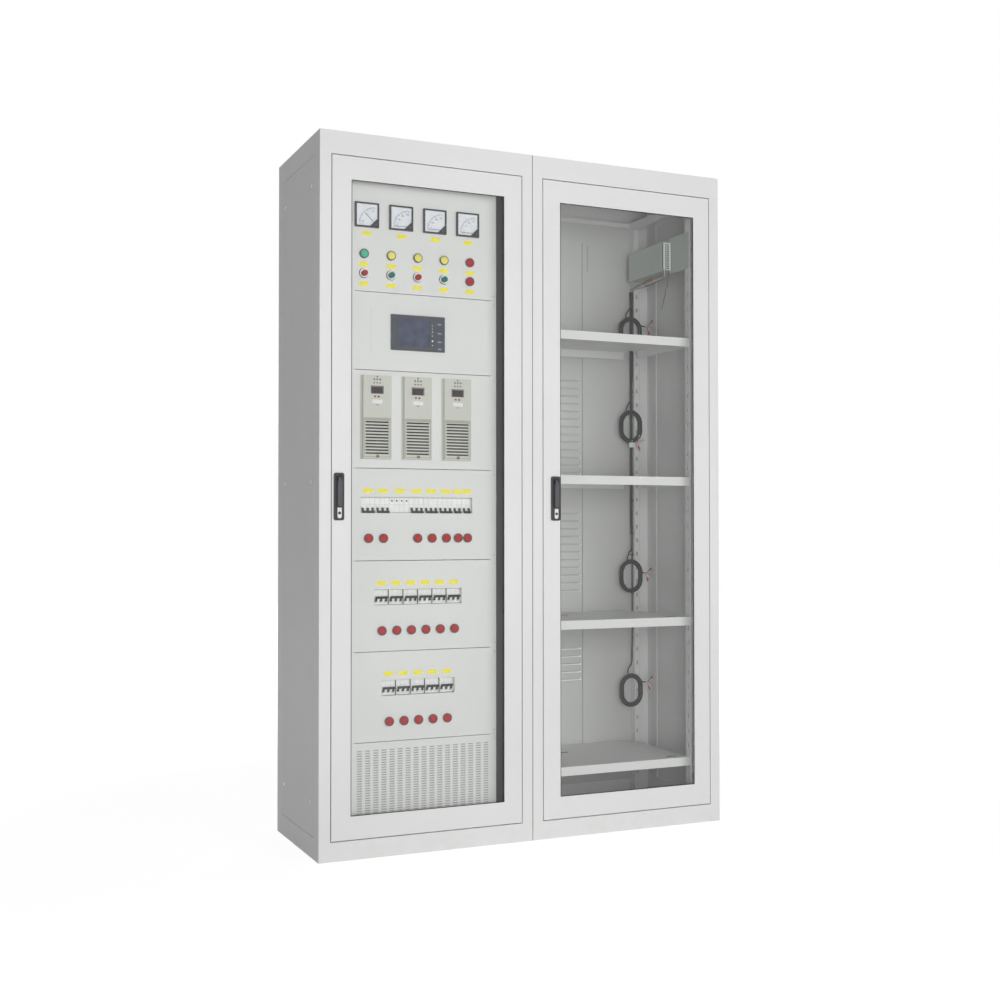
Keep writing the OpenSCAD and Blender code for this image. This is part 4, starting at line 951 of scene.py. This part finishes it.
# The rows of breakers: a shift from the middle, the poles of each housing, and the height.
rows = {"d": (0.0, [3, 3, 4, 3, 3, 3, 2, 2], 1070.0), "e": (3.5, [3] * 6, 785.0),
        "f": (3.5, [3] * 5, 505.0)}
middles = {}
for row, (shift, poles, height) in rows.items():
    start = ROW_MID + shift - POLE * sum(poles) / 2
    middles[row] = [(start + POLE * (sum(poles[:i]) + n / 2), n) for i, n in enumerate(poles)]
    for x, n in middles[row]:
        width = (32.0 if row == "d" else 29.5) if n > 2 else 29.0
        marks.append((x - 2.0, height + 44.0, width, 13.0))
plates = Small()
for number, (x, z, width, height) in enumerate(marks, 1):
    lean = math.radians(1.1 * math.sin(number * 2.4))
    plates.shape(Matrix.Translation((x, PANEL - 0.5, z)) @ Matrix.Rotation(lean, 4, "Y")
                 @ Matrix.Diagonal((width, 1.0, height, 1.0)), 0.35)
plates.done("marker_plates", marker_yellow)

# %% [markdown]
# ## Bezel shade
# A thin dark ring round each push button's bezel is painted shade where the bezel meets its
# panel.

# %% Button bezel shade
BUTTON_Z, BUTTON_PITCH = 1783.2, 87.3
bezel_shades = Small()
for i in range(4):
    bezel_shades.hoop("Y", (ROW_MID + (i - 2) * BUTTON_PITCH, 0, BUTTON_Z), 13.0, 15.6,
                 PANEL - 0.9, PANEL, 32)
bezel_shades.done("button_bezel_shade", rubber_and_shade_black)

# %% [markdown]
# ## Meter faces
# A square moving-iron or moving-coil meter has its pivot in one corner and a quarter-circle
# scale. The lines are printed; here they are bars a tenth of a millimetre proud, and the
# figures are a font's outlines turned into a mesh. The first meter has its zero in the
# middle, because battery current flows both ways.


# %% Figures
def figures(kit, words, x, y, z, size):
    """Flat figures facing the front, added to a kit."""
    curve = bpy.data.curves.new("figures", "FONT")
    curve.body = words
    curve.size = size
    curve.align_x = "CENTER"
    curve.align_y = "CENTER"
    curve.extrude = 0.06
    holder = bpy.data.objects.new("figures", curve)
    mesh = holder.to_mesh()
    known = len(kit.bm.verts)
    kit.bm.from_mesh(mesh)
    kit.bm.verts.ensure_lookup_table()
    place = Matrix.Translation((x, y, z)) @ Matrix.Rotation(math.radians(90.0), 4, "X")
    bmesh.ops.transform(kit.bm, matrix=place, verts=kit.bm.verts[known:])
    holder.to_mesh_clear()
    bpy.data.objects.remove(holder)
    bpy.data.curves.remove(curve)


# %% Meter scales
DIAL = -205.0  # the front of the dials
INK = DIAL - 0.1
METER_Z = STACK_TOP - 0.36 * (STACK_TOP - seams[1])
SCALE_R = 50.0
SCALE_FROM, SCALE_SWEEP = 2.0, 86.0  # degrees
meter_x = [ROW_MID + (i - 1.5) * 111.0 for i in range(4)]
scales = [["50", "0", "50"], ["0", "100", "200", "300"], ["0", "100", "200", "300"],
          ["0", "25", "50", "75"]]
print_ink = moulded("print_ink", (0.060, 0.065, 0.080), 0.55)
for number, (x, words) in enumerate(zip(meter_x, scales), 1):
    ink = Small()
    pivot = Vector((x + 25.5, METER_Z - 25.5))

    def polar(radius, degrees):
        a = math.radians(degrees)
        return (pivot.x - radius * math.cos(a), pivot.y + radius * math.sin(a))

    arc = [polar(SCALE_R, SCALE_FROM + SCALE_SWEEP * k / 24) for k in range(25)]
    for a, b in zip(arc, arc[1:]):
        ink.bar(a, b, INK, DIAL, 0.55)
    for k in range(31):
        long = 6.5 if k % 10 == 0 else (4.8 if k % 5 == 0 else 3.2)
        degrees = SCALE_FROM + SCALE_SWEEP * k / 30
        ink.bar(polar(SCALE_R, degrees), polar(SCALE_R - long, degrees), INK, DIAL,
                0.75 if k % 5 == 0 else 0.4)
    for k, word in enumerate(words):
        degrees = 8.0 + 74.0 * k / (len(words) - 1)
        place = polar(38.5, degrees)
        figures(ink, word, place[0], DIAL - 0.08, place[1], 6.5)
    ink.box(x - 29, x - 8, INK, DIAL, METER_Z - 28.6, METER_Z - 28.1)
    ink.done("meter_scale_%d" % number, print_ink)

# %% [markdown]
# ## Meter glass and zero screw
# A thin clear window closes each meter just in front of the needle. The black corner carries
# the slotted screw that sets the needle to zero.

# %% Meter glass and zero screws
WINDOW = 33.4  # half its width
GLASS = -207.0  # the back of the window
HEAD = -209.4  # the front of a screw's head
meter_pane = pane("meter_pane", (0.990, 0.995, 0.995), 0.02)
glasses, zero = Small(), Small()
for x in meter_x:
    glasses.box(x - WINDOW, x + WINDOW, GLASS - 0.5, GLASS, METER_Z - WINDOW, METER_Z + WINDOW)
    zero.rod((x + 27.5, HEAD, METER_Z - 27.5), (x + 27.5, HEAD + 0.5, METER_Z - 27.5), 2.6,
             sides=24)
    zero.bar((x + 25.4, METER_Z - 28.6), (x + 29.6, METER_Z - 26.4), HEAD - 0.3, HEAD + 0.1, 0.7)
glasses.done("meter_windows", meter_pane)
zero.done("zero_screws", grey_lever)

# %% [markdown]
# ## Controller face
# The controller has a moulded rim round its display, a row of small keys with lit dots down
# the display's side, and four flat membrane keys under the overlay at the right.

# %% Controller face
CASE = -206.5  # the front of the controller
CASE_X, CASE_Z = ROW_MID, 1607.0
DOT_X = CASE_X + 47
key_heights = [1638.5, 1610.0, 1583.7, 1561.0]
rim = Small()
for x0, x1, proud, half, width in ((-67.5, 41.5, 0.8, 45.5, 2.3), (-88.5, 88.5, 0.6, 55.5, 1.6)):
    rim.frame(CASE_X + x0, CASE_X + x1, CASE - proud, CASE + SUNK, CASE_Z - half,
              CASE_Z + half, width)
rim.done("controller_rim", navy_case)
key_navy = moulded("key_navy", (0.050, 0.062, 0.110), 0.40)
keys, dots = Small(), Small()
for z in key_heights:
    keys.key(CASE_X + 60, CASE_X + 81, CASE, 0.6, z - 5, z + 5, 0.28)
    dots.box(CASE_X + 65, CASE_X + 76, CASE - 0.7, CASE - 0.55, z - 0.6, z + 0.6)
keys.done("controller_keys", key_navy)
for z, size in ((1633.5, 1.4), (1623.7, 1.4), (1613.8, 1.6), (1601.8, 1.4), (1571.7, 1.5)):
    dots.stud(DOT_X, z, CASE, 0.7, size, sides=16)
dots.stud(DOT_X, 1585.4, CASE, 1.1, 3.0, 2.6)
dots.done("controller_dots", plain_white)

# %% [markdown]
# ## Module fronts
# Each rectifier module has a hooded display, three green status lamps over three black studs,
# a red and a black key, a blank rating plate, a framed grille and a round latch at its foot.
# Dark strips deep in the grille's slots are painted shade. The three modules are alike, so a loop
# sets out every piece round each module's middle.

# %% Module fronts
FACE = -212.0  # the front of the modules
LATCH = -218.0  # the front of their latches
TOP = 1470.5
STATUS_Z, STUD_Z, LATCH_Z = TOP - 14, TOP - 24.6, 1219.5
SLOT_Z, SLOT_HIGH, SLOT_PITCH = 1226.6, 4.8, 9.6
module_x = [ROW_MID - 2.6 + i * 132.5 for i in (-1, 0, 1)]
hoods, status, reds, blacks, whites = Small(), Small(), Small(), Small(), Small()
grille_paint = powder_coat("grille_paint", (0.420, 0.415, 0.370), 0.55, 700.0, dusty=False)
grilles, slots = Small(), Small()
for x in module_x:
    hoods.frame(x - 20.5, x + 20.5, FACE - 0.9, FACE + SUNK, 1412.3, 1436.7, 1.9)
    blacks.stud(x, TOP - 6.0, FACE, 0.3, 3.6, sides=3)
    for lamp_x in (x - 9.5, x, x + 9.5):
        blacks.hoop("Y", (lamp_x, 0, STATUS_Z), 1.3, 2.7, FACE - 0.5, FACE + SUNK, 16)
        status.stud(lamp_x, STATUS_Z, FACE, 0.9, 1.2)
        blacks.stud(lamp_x, STUD_Z, FACE, 1.0, 1.8, 2.4, 14)
    reds.key(x - 10, x - 4, FACE, 1.4, TOP - 69, TOP - 64, 0.5)
    blacks.key(x + 1.5, x + 7.5, FACE, 1.4, TOP - 69.5, TOP - 64.5, 0.5)
    whites.key(x - 17, x + 17, FACE, 0.5, TOP - 88.5, TOP - 76.5, 0.2)
    blacks.key(x - 4, x + 4, FACE, 0.4, TOP - 93.2, TOP - 91.8)
    grilles.frame(x - 43.0, x + 43.0, FACE - 0.7, FACE + SUNK, 1216.5, 1338.5, 2.4)
    grilles.key(x - 40.6, x + 40.6, FACE, 0.35, 1329.4, 1336.1)
    for k in range(11):
        foot = SLOT_Z + SLOT_PITCH * k
        # A dark strip deep in each slot: painted shade.
        slots.box(x - 37.4, x + 37.4, FACE + 5.6, FACE + 6.9, foot, foot + SLOT_HIGH)
    blacks.hoop("Y", (x, 0, LATCH_Z), 2.2, 4.4, LATCH - 0.5, LATCH + 0.1, 24)
    blacks.bar((x - 3.6, LATCH_Z), (x + 3.6, LATCH_Z), LATCH - 0.8, LATCH, 1.2)
hoods.done("module_hoods", navy_case)
status.done("module_status_lamps", green_plastic)
reds.done("module_red_keys", red_plastic)
blacks.done("module_black_keys", black_plastic)
whites.done("module_plates", plain_white)
grilles.done("module_grilles", grille_paint)
slots.done("module_slot_shadows", rubber_and_shade_black)

# %% [markdown]
# ## Breaker details
# A thin dark sheet stands beside each breaker of the two lower rows and beside the first one of
# the upper row: painted shade for the gaps between breakers and at the window's edge. A white
# blanking strip closes the window after the last.
# Fine dark lines mark where pole meets pole, and one more line crosses each housing. The
# surge arrester has a small sight glass for each cartridge.

# %% Breaker details
NOSE = -189.0  # the front of the housings
NOSE_HALF = 22.8  # half the height of what shows of them
ARRESTER = 4  # the number of its poles
gap_shades, lines, sights, blanks = Small(), Small(), Small(), Small()
for row, places in middles.items():
    height = rows[row][2]
    foot, top = height - NOSE_HALF, height + NOSE_HALF
    right = places[-1][0] + POLE * places[-1][1] / 2
    blanks.box(right - 0.1, right + 9.0, NOSE + 0.3, NOSE + 3.0, foot, top, 0.3)
    for i, (x, n) in enumerate(places):
        left = x - POLE * n / 2
        if row != "d" or i == 0:
            # A thin dark sheet: painted shade in the gap at the breaker's left side.
            gap_shades.box(left - 0.45, left + 0.45, NOSE - 5.5, NOSE + 20, foot, top)
        for k in range(1, n):
            seam = left + POLE * k
            lines.box(seam - 0.2, seam + 0.2, NOSE - 0.06, NOSE + 0.02, height - 22.6,
                      height + 22.6)
        lines.box(left + 1.0, left + POLE * n - 1.0, NOSE - 0.08, NOSE + 0.02, height + 1.5,
                  height + 1.9)
        if n == ARRESTER:
            for k in range(n):
                middle = left + POLE * (k + 0.5)
                sights.box(middle - 2.4, middle + 2.4, NOSE + 0.1, NOSE + 1.95, height + 11.0,
                           height + 15.6, 0.3)
gap_shades.done("breaker_gap_shade", rubber_and_shade_black)
blanks.done("breaker_blanking_strips", breaker_white)
lines.done("breaker_seams", moulded("seam_grey", (0.330, 0.330, 0.320), 0.6))
sights.done("arrester_sights", moulded("sight_blue", (0.030, 0.150, 0.210), 0.25))

# %% [markdown]
# ## Battery monitor terminals
# The strip on the monitor has twelve screw terminals. Each is a small plated screw sunk in
# its pocket.

# %% Monitor terminals
TERMINAL_PITCH = 94.0 / 12.5
screws = Small()
for i in range(12):
    z = STRIP_Z + 5.25 + i * TERMINAL_PITCH
    screws.rod((590.0, -90.4, z), (590.0, -87.6, z), 1.5, sides=14)
screws.done("terminal_screws", tin)

# %% [markdown]
# ## Floor, light and background
# The photograph stands on pure white under soft light from the right, which leaves the
# left side in half shade. The world is white where a lens or a reflection sees it, and much
# dimmer as a lamp, so the sides keep their shading. The floor is pale and keeps a faint
# shadow close to the cabinet, and goes over to plain white further out.

# %% Studio
floor_mesh = bpy.data.meshes.new("floor")
bm = bmesh.new()
bmesh.ops.create_grid(bm, x_segments=1, y_segments=1, size=14.0)
bm.to_mesh(floor_mesh)
bm.free()
floor = linked("floor", floor_mesh)
floor.location = (0.0, 0.0, cad_low[2] - 0.0005)
floor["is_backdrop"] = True

paper = Finish("floor_paper", Roughness=0.9)
paper.set(Base_Color=(0.86, 0.86, 0.86))
bright = paper.out("Emission", "Emission", inputs={"Color": WHITE, "Strength": 1.16})
away = paper.out("VectorMath", "Value", operation="LENGTH",
                 inputs={0: paper.place()}).fade(1.5, 3.2)
paper.surface(paper.out("MixShader", "Shader", inputs={
    0: paper.seen() * (0.8 + away * 0.2), 1: Value(paper, paper.shader.outputs[0]), 2: bright}))
floor_mesh.materials.append(paper.material)

world = bpy.data.worlds.new("studio")
scene.world = world
world.use_nodes = True
sky = Shader(world.node_tree)
strength = sky.out("MapRange", "Result",
                   inputs={"Value": sky.seen(), "To Min": 0.13, "To Max": 1.0})
background = sky.out("Background", "Background", inputs={"Color": WHITE, "Strength": strength})
sky.add("OutputWorld", inputs={"Surface": background})


def softbox(name, place, aim, width, height, power):
    """A rectangular lamp at a place in metres, turned to its aim, with its power in watts."""
    data = bpy.data.lights.new(name, "AREA")
    data.shape = "RECTANGLE"
    data.size = width
    data.size_y = height
    data.energy = power
    lamp = linked(name, data)
    lamp.visible_glossy = False
    lamp.location = place
    lamp.rotation_euler = (Vector(aim) - Vector(place)).to_track_quat("-Z", "Y").to_euler()


softbox("key_light", (1.8, -5.0, 2.0), (0.0, 0.0, 1.1), 3.0, 3.0, 91.0)
softbox("front_fill", (-1.5, -5.2, 1.0), (-0.1, 0.0, 1.0), 1.4, 2.4, 123.0)
softbox("back_fill", (1.6, 5.2, 1.8), (0.0, 0.0, 1.1), 2.6, 2.4, 90.0)
scene.view_settings.view_transform = "Standard"
print("studio lit")

# %% Finish
low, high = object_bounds()
